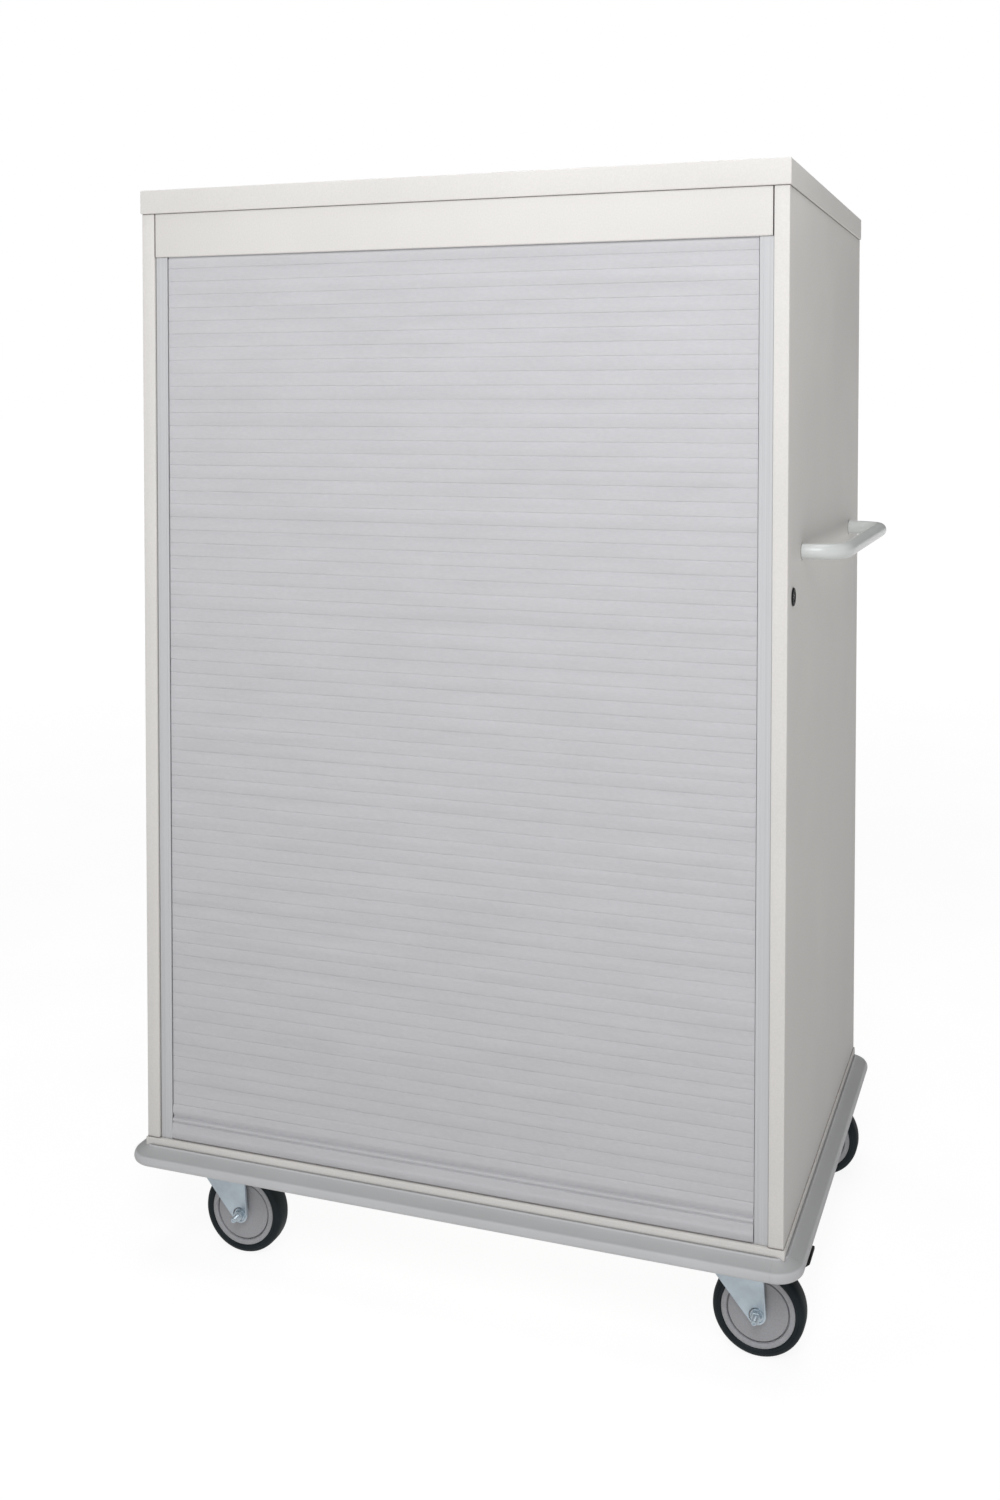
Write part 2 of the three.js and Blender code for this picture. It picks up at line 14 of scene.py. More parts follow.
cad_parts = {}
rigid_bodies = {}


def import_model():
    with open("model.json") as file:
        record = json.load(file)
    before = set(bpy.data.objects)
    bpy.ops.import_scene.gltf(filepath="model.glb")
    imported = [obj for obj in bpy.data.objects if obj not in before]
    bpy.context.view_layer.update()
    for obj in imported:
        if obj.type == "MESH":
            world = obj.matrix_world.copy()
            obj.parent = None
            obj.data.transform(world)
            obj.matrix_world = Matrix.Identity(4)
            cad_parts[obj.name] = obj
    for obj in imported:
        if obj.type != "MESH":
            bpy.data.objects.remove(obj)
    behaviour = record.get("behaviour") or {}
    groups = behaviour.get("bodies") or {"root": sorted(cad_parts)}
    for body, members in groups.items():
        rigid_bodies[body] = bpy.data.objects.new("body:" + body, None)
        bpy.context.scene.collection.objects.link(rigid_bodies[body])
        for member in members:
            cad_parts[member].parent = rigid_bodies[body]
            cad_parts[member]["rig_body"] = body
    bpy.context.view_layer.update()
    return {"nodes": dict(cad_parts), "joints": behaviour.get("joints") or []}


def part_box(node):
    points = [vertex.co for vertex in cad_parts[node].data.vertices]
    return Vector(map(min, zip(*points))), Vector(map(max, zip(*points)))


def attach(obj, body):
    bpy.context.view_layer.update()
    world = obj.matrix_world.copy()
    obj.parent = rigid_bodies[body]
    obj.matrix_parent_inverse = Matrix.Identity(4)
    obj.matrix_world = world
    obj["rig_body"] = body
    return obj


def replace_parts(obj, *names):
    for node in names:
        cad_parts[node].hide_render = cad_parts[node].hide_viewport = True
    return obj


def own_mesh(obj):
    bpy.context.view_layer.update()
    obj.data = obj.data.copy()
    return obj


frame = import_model()
scene = bpy.context.scene

# ---- Driving sizes ----

MM = 0.001
CORNERS = {"front_left": (-1, -1), "front_right": (1, -1), "rear_left": (-1, 1), "rear_right": (1, 1)}
BRAKED = ("front_right", "rear_left")
SIDES = {"left": -1, "right": 1}

BOARD_EDGE = 1.2 * MM  # rounding of a board's edge band
SHEET_EDGE = 0.5 * MM  # rounding of pressed steel

SLAT_PITCH = 18.93 * MM
TOP_SLAT_LINE = 1462.5 * MM
SLAT_GROOVE = {"width": 1.2 * MM, "depth": 0.65 * MM}
SLAT_END_GAP = 0.9 * MM  # between the slats' faces and the guides
SLAT_TONGUE = 4 * MM  # thickness of the slat ends inside the guides

HANDLE_BEND = 46 * MM  # how far from the elbow the tube starts to bend
BUMPER_CORNER = 38 * MM  # outer radius of the bumper's corners
BUMPER_SEAM = 0.06 * MM  # half the gap between two lengths of bumper

WHEEL = {"radius": 62.5 * MM, "trail": 40 * MM}
CHEEK = {"inside": 21 * MM, "thickness": 3 * MM}  # fork cheeks, from the wheel's middle
CROWN_TOP = 137 * MM
PLATE_THICKNESS = 3 * MM

# where the camera stands, and how far it is turned left, tipped down and rolled, in radians
CAMERA = {"place": (0.8093, -2.2551, 1.2585), "turn": 0.332, "dip": 0.0308, "roll": 0.0015}
LENS = 36.77  # millimetres, on a frame 36 wide
SHIFT = (-0.0293, -0.1950)  # the view is level, so the frame is moved down to the wheels

FLOOR_SEEN = 0.90  # how bright the floor near the cart looks
FLOOR_GLOW = 0.55  # and how much it lights the cart
SKY_LIGHT = 0.15

# ---- Mesh helpers ----


def rounded(corners, steps=4):
    """A closed outline whose corners (a, b, setback) are turned into smooth bends."""
    points = []
    for i, (a, b, setback) in enumerate(corners):
        here = Vector((a, b))
        if not setback:
            points.append((a, b))
            continue
        before = Vector(corners[i - 1][:2])
        after = Vector(corners[(i + 1) % len(corners)][:2])
        start = here + (before - here).normalized() * setback
        end = here + (after - here).normalized() * setback
        for k in range(steps + 1):
            t = k / steps
            points.append(tuple(start * (1 - t) ** 2 + here * 2 * t * (1 - t) + end * t**2))
    return points


def rounded_box(left, right, bottom, top, setback):
    """A rectangle's outline with its corners rounded."""
    corners = [(left, bottom, setback), (right, bottom, setback), (right, top, setback), (left, top, setback)]
    return rounded(corners, 5)


def pin_profile(radius, start, end, edge):
    """A solid pin's profile, for add_turned, with chamfered ends."""
    return [
        (0, start), (radius - edge, start), (radius, start + edge),
        (radius, end - edge), (radius - edge, end), (0, end),
    ]


def scaled(points):
    """Takes a list of points in millimetres to metres."""
    return [tuple(value * MM for value in point) for point in points]


def mirrored(half):
    """A wheel's profile from its near half. A point on the middle plane isn't repeated."""
    return half + [(radius, -height) for radius, height in reversed(half) if height]


def middle_of(node):
    low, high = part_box(node)
    return (low + high) / 2


def arc(centre, radius, start, end, steps):
    """Points of an arc from one angle to another, in degrees."""
    angles = [math.radians(start + (end - start) * k / steps) for k in range(steps + 1)]
    return [(centre[0] + radius * math.cos(t), centre[1] + radius * math.sin(t)) for t in angles]


def circle(radius, sides, centre=(0, 0)):
    return arc(centre, radius, 0, 360 * (1 - 1 / sides), sides - 1)


def along_x(x):
    """Takes an outline drawn in (y, z) to that x."""
    return Matrix(((0, 0, 1, x), (1, 0, 0, 0), (0, 1, 0, 0), (0, 0, 0, 1)))


def along_y(y):
    """Takes an outline drawn in (x, z) to that y."""
    return Matrix(((1, 0, 0, 0), (0, 0, 1, y), (0, 1, 0, 0), (0, 0, 0, 1)))


def along_z(z):
    """Takes an outline drawn in (x, y) to that z."""
    return Matrix.Translation((0, 0, z))


def add_sweep(bm, outline, frames):
    """Carries a closed outline through a list of frames, with a cap at each end."""
    rings = [[bm.verts.new(place @ Vector((a, b, 0))) for a, b in outline] for place in frames]
    for ring, after in zip(rings, rings[1:]):
        for i in range(len(outline)):
            j = (i + 1) % len(outline)
            bm.faces.new((ring[i], ring[j], after[j], after[i]))
    bm.faces.new(rings[0])
    bm.faces.new(list(reversed(rings[-1])))


def add_turned(bm, profile, place, sides=48, closed=False):
    """Turns a profile of (radius, height) points about the Z axis of a frame."""
    rings = []
    for radius, height in profile:
        if radius < 1e-7:
            rings.append([bm.verts.new(place @ Vector((0, 0, height)))])
            continue
        points = circle(radius, sides)
        rings.append([bm.verts.new(place @ Vector((a, b, height))) for a, b in points])
    following = rings[1:] + (rings[:1] if closed else [])
    for ring, after in zip(rings, following):
        for i in range(sides):
            j = (i + 1) % sides
            corners = [ring[i % len(ring)], ring[j % len(ring)], after[j % len(after)], after[i % len(after)]]
            face = list(dict.fromkeys(corners))
            if len(face) > 2:
                bm.faces.new(face)


def add_block(bm, low, high, edge=0.0, segments=3):
    """A box between two corners, with rounded edges."""
    low, high = Vector(low), Vector(high)
    verts = bmesh.ops.create_cube(bm, size=1.0)["verts"]
    for vert in verts:
        vert.co = Vector([low[i] + (high[i] - low[i]) * (vert.co[i] + 0.5) for i in range(3)])
    if edge:
        edges = list({e for vert in verts for e in vert.link_edges})
        bmesh.ops.bevel(bm, geom=edges, offset=edge, segments=segments, profile=0.5, affect="EDGES")


def swept(outline, frames):
    """A new mesh that holds one sweep."""
    bm = bmesh.new()
    add_sweep(bm, outline, frames)
    return bm


def turned(profile, place, sides=48, closed=False):
    """A new mesh that holds one turned solid."""
    bm = bmesh.new()
    add_turned(bm, profile, place, sides, closed)
    return bm


def block(low, high, edge=0.0):
    """A new mesh that holds one box."""
    bm = bmesh.new()
    add_block(bm, low, high, edge)
    return bm


def new_object(name, bm):
    """Makes an object of a mesh, with its faces turned outward."""
    bmesh.ops.recalc_face_normals(bm, faces=bm.faces)
    mesh = bpy.data.meshes.new(name)
    bm.to_mesh(mesh)
    bm.free()
    made = bpy.data.objects.new(name, mesh)
    scene.collection.objects.link(made)
    return made


def apply_modifiers(obj):
    graph = bpy.context.evaluated_depsgraph_get()
    obj.data = bpy.data.meshes.new_from_object(obj.evaluated_get(graph))
    obj.modifiers.clear()


def combine(obj, bm, operation="DIFFERENCE"):
    """Cuts the solid in bm out of an object, or joins it on with operation UNION."""
    tool = new_object("tool", bm)
    modifier = obj.modifiers.new("combine", "BOOLEAN")
    modifier.object = tool
    modifier.operation = operation
    modifier.solver = "EXACT"
    apply_modifiers(obj)
    bpy.data.objects.remove(tool)
    return obj


def soften(obj, width):
    """Rounds every edge that turns by more than 40 degrees."""
    modifier = obj.modifiers.new("soften", "BEVEL")
    modifier.width = width
    modifier.segments = 2
    modifier.limit_method = "ANGLE"
    modifier.angle_limit = math.radians(40)
    apply_modifiers(obj)
    return obj


def dress(obj, finish, body, smooth=35):
    """Gives a piece its material, its shading and the body it rides on."""
    obj.data.materials.clear()
    obj.data.materials.append(materials[finish])
    obj.data.shade_smooth()
    obj.data.set_sharp_from_angle(angle=math.radians(smooth))
    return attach(obj, body)


def stand_in(obj, node, finish, smooth=35):
    """Dresses a piece and puts it in a CAD node's place, on that node's body."""
    dress(obj, finish, frame["nodes"][node]["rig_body"], smooth)
    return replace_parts(obj, node)


def fine(node, bm):
    """The finer piece for a CAD node, not dressed yet."""
    return new_object(f"{node}_finished", bm)


def finish_node(node, bm, finish, smooth=35):
    """The finer piece for a CAD node, dressed and in its place."""
    return stand_in(fine(node, bm), node, finish, smooth)


# ---- Materials ----


def nodes_of(name):
    """A new material's tree, its shader and the object's own coordinates."""
    made = bpy.data.materials.new(name)
    made.use_nodes = True
    tree = made.node_tree
    place = tree.nodes.new("ShaderNodeTexCoord").outputs["Object"]
    return made, tree, tree.nodes["Principled BSDF"], place


def add_node(tree, kind, inputs):
    node = tree.nodes.new("ShaderNode" + kind)
    for key, value in inputs.items():
        if isinstance(value, bpy.types.NodeSocket):
            tree.links.new(value, node.inputs[key])
        else:
            node.inputs[key].default_value = value
    return node


def noise(tree, place, scale, detail=3.0, stretch=(1, 1, 1)):
    """Noise from 0 to 1 with so many features a metre, stretched along an axis by a small factor."""
    mapped = add_node(tree, "Mapping", {"Vector": place, "Scale": stretch}).outputs[0]
    return add_node(tree, "TexNoise", {"Vector": mapped, "Scale": scale, "Detail": detail}).outputs[0]


def between(tree, value, low, high, start=0.3, end=0.7):
    """Takes a value in start..end to low..high, where low and high are numbers."""
    inputs = {"Value": value, "From Min": start, "From Max": end, "To Min": low, "To Max": high}
    return add_node(tree, "MapRange", inputs).outputs[0]


def tinted(tree, value, low, high, start=0.3, end=0.7):
    """Takes a value in start..end to a colour between low and high."""
    ramp = add_node(tree, "ValToRGB", {"Fac": value})
    for stop, place, colour in zip(ramp.color_ramp.elements, (start, end), (low, high)):
        stop.position = place
        stop.color = (*colour, 1)
    return ramp.outputs[0]


def upward_shade(tree, start, end):
    """Mask for painted shade: 0 to 1 as a surface turns up."""
    normal = tree.nodes.new("ShaderNodeNewGeometry").outputs["Normal"]
    height = add_node(tree, "SeparateXYZ", {0: normal}).outputs[2]
    return between(tree, height, 0, 1, start, end)


def crevice_shade(tree, reach):
    """Mask for painted shade: 0 in the open to 1 deep in a corner."""
    node = add_node(tree, "AmbientOcclusion", {"Distance": reach})
    node.samples = 6
    return between(tree, node.outputs["AO"], 1, 0, 0.4, 0.95)


def darkened(tree, colour, amount, factor):
    """Multiplies a colour by a factor where amount is 1."""
    mix = tree.nodes.new("ShaderNodeMix")
    mix.data_type = "RGBA"
    mix.blend_type = "MULTIPLY"
    tree.links.new(amount, mix.inputs[0])
    tree.links.new(colour, mix.inputs[6])
    mix.inputs[7].default_value = (*factor, 1)
    return mix.outputs[2]


def shade(colour, factor):
    return tuple(channel * factor for channel in colour)


def relief(tree, shader, height, depth, strength=1.0):
    """Bumps a surface by a height of 0 to 1, depth metres deep."""
    inputs = {"Height": height, "Distance": depth, "Strength": strength}
    bump = add_node(tree, "Bump", inputs)
    tree.links.new(bump.outputs[0], shader.inputs["Normal"])


def connect(tree, shader, **sockets):
    for name, value in sockets.items():
        key = name.replace("_", " ").title().replace("Ior", "IOR")
        if isinstance(value, bpy.types.NodeSocket):
            tree.links.new(value, shader.inputs[key])
        else:
            shader.inputs[key].default_value = value


def white_board():
    """Melamine facing: a fine pearl grain, slow changes of tone over the board, and painted shade darkening
    it in joints and corners.
    """
    made, tree, shader, place = nodes_of("white_board")
    base = (0.765, 0.742, 0.715)
    pearl = noise(tree, place, 420, 4)
    cloud = noise(tree, place, 5, 2)
    both = add_node(tree, "Math", {0: pearl, 1: cloud})
    both.operation = "ADD"
    level = between(tree, both.outputs[0], 0, 1, 0.7, 1.3)
    unshaded = tinted(tree, level, shade(base, 0.955), shade(base, 1.03), 0, 1)
    # painted shade: the colour is darkened in joints and corners, where shade falls
    colour = darkened(tree, unshaded, crevice_shade(tree, 4 * MM), (0.42, 0.41, 0.40))
    connect(tree, shader, base_color=colour, roughness=between(tree, cloud, 0.58, 0.66))
    connect(tree, shader, specular_ior_level=0.22)
    relief(tree, shader, pearl, 0.05 * MM, 0.5)
    return made


def shutter_grey():
    """Extruded slats: a fine grain drawn out along the slats, and a slight change from one to the next."""
    made, tree, shader, place = nodes_of("shutter_grey")
    base = (0.592, 0.586, 0.606)
    grain = noise(tree, place, 500, 4, (0.25, 1, 1))
    patches = noise(tree, place, 60, 3, (0.15, 1, 1))
    slats = noise(tree, place, 53, 1, (0.001, 0.001, 1))
    mixed = add_node(tree, "Math", {0: grain, 1: patches})
    mixed.operation = "ADD"
    total = add_node(tree, "Math", {0: mixed.outputs[0], 1: slats})
    total.operation = "ADD"
    level = between(tree, total.outputs[0], 0, 1, 1.1, 1.9)
    colour = tinted(tree, level, shade(base, 0.94), shade(base, 1.05), 0, 1)
    connect(tree, shader, base_color=colour, roughness=between(tree, patches, 0.50, 0.62))
    relief(tree, shader, grain, 0.06 * MM, 0.6)
    return made


def guide_grey():
    """Satin extrusion with faint draw lines along its length."""
    made, tree, shader, place = nodes_of("guide_grey")
    base = (0.60, 0.604, 0.616)
    lines = noise(tree, place, 700, 2, (1, 1, 0.002))
    patches = noise(tree, place, 14, 2)
    colour = tinted(tree, lines, shade(base, 0.93), shade(base, 1.04))
    connect(tree, shader, base_color=colour, roughness=between(tree, patches, 0.40, 0.50))
    relief(tree, shader, lines, 0.05 * MM, 0.5)
    return made


def bumper_grey():
    """Soft plastic profile: a scuffed mottle, painted shade on its upper side, and painted shade in the
    crevice against the board.
    """
    made, tree, shader, place = nodes_of("bumper_grey")
    base = (0.615, 0.615, 0.625)
    skin = noise(tree, place, 260, 4)
    scuffs = noise(tree, place, 30, 5, (0.2, 0.2, 1))
    unshaded = tinted(tree, scuffs, shade(base, 0.93), shade(base, 1.04))
    # painted shade: faces that turn up are darkened
    colour = darkened(tree, unshaded, upward_shade(tree, 0.55, 0.95), (0.74, 0.745, 0.735))
    # painted shade: darker in the crevice against the board
    colour = darkened(tree, colour, crevice_shade(tree, 9 * MM), (0.60, 0.60, 0.62))
    connect(tree, shader, base_color=colour, roughness=between(tree, scuffs, 0.58, 0.46))
    relief(tree, shader, skin, 0.08 * MM, 0.5)
    return made


def handle_grey():
    """Glossy lacquered tube with a slight orange peel."""
    made, tree, shader, place = nodes_of("handle_grey")
    base = (0.66, 0.68, 0.665)
    peel = noise(tree, place, 240, 2)
    cloud = noise(tree, place, 18, 2)
    colour = tinted(tree, cloud, shade(base, 0.97), shade(base, 1.03))
    connect(tree, shader, base_color=colour, roughness=between(tree, cloud, 0.34, 0.44))
    connect(tree, shader, coat_weight=0.3, coat_roughness=0.12)
    relief(tree, shader, peel, 0.02 * MM, 0.4)
    return made


def zinc_steel():
    """Bright zinc plate: blue-grey metal with cloudy passivation and fine pressing marks."""
    made, tree, shader, place = nodes_of("zinc_steel")
    base = (0.60, 0.68, 0.74)
    cloud = noise(tree, place, 55, 4)
    fine_grain = noise(tree, place, 900, 3)
    colour = tinted(tree, cloud, shade(base, 0.86), shade(base, 1.08))
    connect(tree, shader, base_color=colour, metallic=0.75, roughness=between(tree, cloud, 0.36, 0.52))
    relief(tree, shader, fine_grain, 0.03 * MM, 0.5)
    return made


def spring_steel():
    """Oiled dark wire."""
    made, tree, shader, place = nodes_of("spring_steel")
    film = noise(tree, place, 120, 3)
    colour = tinted(tree, film, (0.09, 0.095, 0.105), (0.15, 0.155, 0.165))
    connect(tree, shader, base_color=colour, metallic=0.9, roughness=between(tree, film, 0.28, 0.45))
    relief(tree, shader, film, 0.02 * MM, 0.5)
    return made


def tyre_rubber():
    """Near-black rubber, slightly blue, with dust in its grain."""
    made, tree, shader, place = nodes_of("tyre_rubber")
    grain = noise(tree, place, 320, 5)
    dust = noise(tree, place, 26, 4)
    colour = tinted(tree, dust, (0.006, 0.012, 0.015), (0.014, 0.022, 0.026), 0.4, 0.75)
    connect(tree, shader, base_color=colour, roughness=between(tree, dust, 0.50, 0.68))
    connect(tree, shader, specular_ior_level=0.28)
    relief(tree, shader, grain, 0.08 * MM, 0.6)
    return made


def wheel_grey():
    """Moulded wheel body: a mottled fine texture."""
    made, tree, shader, place = nodes_of("wheel_grey")
    base = (0.40, 0.40, 0.418)
    grain = noise(tree, place, 420, 4)
    colour = tinted(tree, grain, shade(base, 0.90), shade(base, 1.08))
    connect(tree, shader, base_color=colour, roughness=between(tree, grain, 0.44, 0.58))
    relief(tree, shader, grain, 0.06 * MM, 0.6)
    return made


def black_plastic():
    """Moulded black plastic with a fine spark texture."""
    made, tree, shader, place = nodes_of("black_plastic")
    grain = noise(tree, place, 800, 3)
    colour = tinted(tree, grain, (0.003, 0.003, 0.004), (0.007, 0.007, 0.008))
    connect(tree, shader, base_color=colour, roughness=between(tree, grain, 0.45, 0.60))
    connect(tree, shader, specular_ior_level=0.25)
    relief(tree, shader, grain, 0.05 * MM, 0.6)
    return made


def bright_steel():
    """Polished steel with hair lines."""
    made, tree, shader, place = nodes_of("bright_steel")
    lines = noise(tree, place, 900, 2, (1, 0.05, 1))
    colour = tinted(tree, lines, (0.62, 0.62, 0.61), (0.78, 0.78, 0.77))
    connect(tree, shader, base_color=colour, metallic=1.0, roughness=between(tree, lines, 0.16, 0.28))
    relief(tree, shader, lines, 0.01 * MM, 0.4)
    return made


MAKERS = (
    white_board, shutter_grey, guide_grey, bumper_grey, handle_grey, zinc_steel,
    spring_steel, tyre_rubber, wheel_grey, black_plastic, bright_steel,
)
materials = {make.__name__: make() for make in MAKERS}

# ---- Cabinet ----


def board(node, edge=BOARD_EDGE):
    """A chipboard panel with rounded edge bands."""
    low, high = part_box(node)
    return fine(node, block(low, high, edge))


def boards():
    """All the panels and shelves, with the lock's hole in the right side panel."""
    for node in ("base_board", "side_panel_left", "back_panel", "shelf_lower", "shelf_middle", "shelf_upper"):
        stand_in(board(node), node, "white_board")
    stand_in(board("top_panel", 1.8 * MM), "top_panel", "white_board")
    lock = middle_of("lock_housing")
    hole = circle(9.3 * MM, 40, (lock.y, lock.z))
    solid = swept(hole, [along_x(lock.x - 0.05), along_x(lock.x + 0.05)])
    stand_in(combine(board("side_panel_right"), solid), "side_panel_right", "white_board")


def fascia():
    """The front plate under the top panel, with its rail behind."""
    low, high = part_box("fascia")
    plate = low.y + 4.7 * MM
    rail = high.z - 16 * MM
    outline = rounded([
        (low.y, low.z, 2.2 * MM),
        (plate, low.z, 1 * MM),
        (plate, rail, 0),
        (high.y, rail, 1 * MM),
        (high.y, high.z, 1 * MM),
        (low.y, high.z, 0.8 * MM),
    ])
    solid = swept(outline, [along_x(low.x), along_x(high.x)])
    stand_in(soften(fine("fascia", solid), 0.6 * MM), "fascia", "white_board")


def guide_outline(inner, outer, front, back):
    """Plan of the right guide: an open channel with a draw line in its front."""
    lip, web = 2 * MM, 5.7 * MM
    line = inner + 4.6 * MM
    return rounded([
        (inner, front, 0.8 * MM),
        (line - 0.7 * MM, front, 0.3 * MM),
        (line, front + 0.35 * MM, 0.2 * MM),
        (line + 0.7 * MM, front, 0.3 * MM),
        (outer, front, 1.6 * MM),
        (outer, back, 0.5 * MM),
        (inner, back, 0.5 * MM),
        (inner, back - lip, 0.5 * MM),
        (outer - web, back - lip, 0.3 * MM),
        (outer - web, front + lip, 0.3 * MM),
        (inner, front + lip, 0.5 * MM),
    ], 3)


def cam_slot(back):
    """The slot in the right guide's rear flange that the lock's cam turns through."""
    cam_low, cam_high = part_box("lock_cam")
    x = (cam_low.x + cam_high.x) / 2
    z = middle_of("lock_housing").z
    reach = 11 * MM
    return block((x - 6 * MM, back - 3.25 * MM, z - reach), (x + 4.5 * MM, back + 2.5 * MM, z + reach))


def guides():
    """Channels for the slat ends, beside the shutter."""
    for side, sign in SIDES.items():
        low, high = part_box(f"guide_{side}")
        inner = min(abs(low.x), abs(high.x))
        outer = max(abs(low.x), abs(high.x))
        outline = [(sign * a, b) for a, b in guide_outline(inner, outer, low.y, high.y)]
        made = fine(f"guide_{side}", swept(outline, [along_z(low.z), along_z(high.z)]))
        if side == "right":
            combine(made, cam_slot(high.y))
        stand_in(made, f"guide_{side}", "guide_grey")


# ---- Shutter ----

ROLLER_Y = middle_of("roller_shaft").y
ROLLER_Z = middle_of("roller_shaft").z
GUIDE_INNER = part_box("guide_right")[0].x
curtain_low, curtain_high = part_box("shutter_curtain")
SLAT_THICKNESS = 8 * MM
WRAP_RADIUS = ROLLER_Y - curtain_low.y - SLAT_THICKNESS / 2
SLAT_FACE_END = GUIDE_INNER - SLAT_END_GAP


def slat_lines(low, high):
    """Heights of the lines between slats, from the lowest up."""
    count = int((TOP_SLAT_LINE - low) / SLAT_PITCH)
    first = TOP_SLAT_LINE - SLAT_PITCH * count
    lines = []
    while first + len(lines) * SLAT_PITCH < high:
        lines.append(first + len(lines) * SLAT_PITCH)
    return lines


def curtain():
    """The hanging slats, which the lifting shutter draws up under the roller."""
    front, back = curtain_low.y, curtain_low.y + SLAT_THICKNESS
    tongue = back - SLAT_TONGUE
    half, deep = SLAT_GROOVE["width"] / 2, SLAT_GROOVE["depth"]
    outline = [(tongue + 0.2 * MM, ROLLER_Z), (tongue + 0.2 * MM, curtain_low.z), (front, curtain_low.z)]
    for z in slat_lines(curtain_low.z, ROLLER_Z):
        outline += [
            (front, z - 2 * half), (front + deep / 5, z - half), (front + deep, z - half / 3),
            (front + deep, z + half / 3), (front + deep / 5, z + half), (front, z + 2 * half),
        ]
    outline.append((front, ROLLER_Z))
    bm = bmesh.new()
    add_sweep(bm, outline, [along_x(-SLAT_FACE_END), along_x(SLAT_FACE_END)])
    add_block(bm, (curtain_low.x, tongue, curtain_low.z), (curtain_high.x, back, ROLLER_Z))
    made = finish_node("shutter_curtain", bm, "shutter_grey", 20)
    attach(made, "cabinet")
    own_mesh(made)


def curtain_over_roller():
    """The slats that turn over the roller and run on to the coil behind it."""
    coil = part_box("shutter_coil")[1].z - ROLLER_Z
    turn = 200
    slats = 8
    outer, inner = [], []
    for i in range(slats * 6 + 1):
        share = i / (slats * 6)
        angle = math.radians(turn * share)
        middle = WRAP_RADIUS + (coil + SLAT_THICKNESS / 2 - WRAP_RADIUS) * share
        groove = SLAT_GROOVE["depth"] if i % 6 == 0 else 0
        outside = middle + SLAT_THICKNESS / 2 - groove
        inside = middle - SLAT_THICKNESS / 2
        for radius, points in ((outside, outer), (inside, inner)):
            points.append((ROLLER_Y - radius * math.cos(angle), ROLLER_Z + radius * math.sin(angle)))
    solid = swept(outer + inner[::-1], [along_x(-SLAT_FACE_END), along_x(SLAT_FACE_END)])
    made = new_object("shutter_curtain_over_roller", solid)
    dress(made, "shutter_grey", "cabinet", 25)
    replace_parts(made, "shutter_curtain")


def grip_bar():
    """The bottom slat: a foot, a flat finger face, a bead, and a cove up to the curtain."""
    low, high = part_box("shutter_bar")
    bottom, back, face = low.z, high.y, curtain_low.y
    tongue = back - SLAT_TONGUE
    front = [
        (-2.0, 0.3, 0.3), (-3.2, 2.5, 1.0), (-5.0, 7.5, 1.5), (-5.3, 9.8, 1.5), (-5.0, 12.0, 1.0),
        (-3.3, 15.0, 2.0), (-3.0, 24.0, 0.5), (-0.6, 25.0, 0.2), (-0.6, 26.2, 0.2), (-2.4, 27.0, 0.4),
        (-2.8, 28.6, 1.0), (-2.4, 30.6, 0.8), (2.2, 31.8, 0.8), (-1.2, 38.5, 1.5), (-2.0, 41.5, 1.0),
        (-1.8, 44.0, 1.0), (-1.0, 50.0, 1.0), (0.0, 52.0, 0.5),
    ]  # out from the slats' face, up from the bar's bottom, setback of each bend, in millimetres
    outline = rounded(
        [(tongue + 0.2 * MM, bottom + 0.3 * MM, 0)]
        + [(face + a * MM, bottom + b * MM, r * MM) for a, b, r in front]
        + [(tongue + 0.2 * MM, high.z, 0)],
        3,
    )
    bm = bmesh.new()
    add_sweep(bm, outline, [along_x(-SLAT_FACE_END), along_x(SLAT_FACE_END)])
    add_block(bm, (low.x, tongue, bottom), (high.x, back, high.z), 0.4 * MM, 2)
    finish_node("shutter_bar", bm, "shutter_grey")


# ---- Roller ----

ROLLER_AXIS = Matrix.Translation((0, ROLLER_Y, ROLLER_Z)) @ Matrix.Rotation(math.pi / 2, 4, "Y")
SHAFT_BORE = 6.4 * MM
TURNED_EDGE = 0.6 * MM  # chamfer of the turned tube and shaft


def roller_tube():
    low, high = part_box("roller_tube")
    radius, wall, plug = (high.z - low.z) / 2, 2 * MM, 4 * MM
    profile = [
        (SHAFT_BORE, low.x), (radius - TURNED_EDGE, low.x), (radius, low.x + TURNED_EDGE),
        (radius, high.x - TURNED_EDGE), (radius - TURNED_EDGE, high.x), (SHAFT_BORE, high.x),
        (SHAFT_BORE, high.x - plug), (radius - wall, high.x - plug), (radius - wall, low.x + plug),
        (SHAFT_BORE, low.x + plug),
    ]
    solid = turned(profile, ROLLER_AXIS, 40, closed=True)
    finish_node("roller_tube", solid, "zinc_steel")


def shutter_coil():
    """Slats wound round the tube, side by side."""
    low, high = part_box("shutter_coil")
    tube_low, tube_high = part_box("roller_tube")
    count, outside = 12, (high.z - low.z) / 2
    inside = (tube_high.z - tube_low.z) / 2 + 0.3 * MM
    half = outside * math.tan(math.pi / count) - 0.3 * MM
    flat = outside * math.cos(math.pi / count)
    slat = rounded([
        (-half, flat, 0.8 * MM),
        (half, flat, 0.8 * MM),
        (half - 1.5 * MM, inside, 0.4 * MM),
        (-half + 1.5 * MM, inside, 0.4 * MM),
    ], 3)
    bm = bmesh.new()
    for i in range(count):
        turn = Matrix.Rotation(2 * math.pi * i / count, 4, "X")
        place = Matrix.Translation((0, ROLLER_Y, ROLLER_Z)) @ turn
        add_sweep(bm, slat, [place @ along_x(low.x), place @ along_x(high.x)])
    finish_node("shutter_coil", bm, "shutter_grey")


def roller_shaft():
    low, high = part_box("roller_shaft")
    solid = turned(pin_profile((high.z - low.z) / 2, low.x, high.x, TURNED_EDGE), ROLLER_AXIS, 24)
    finish_node("roller_shaft", solid, "zinc_steel")


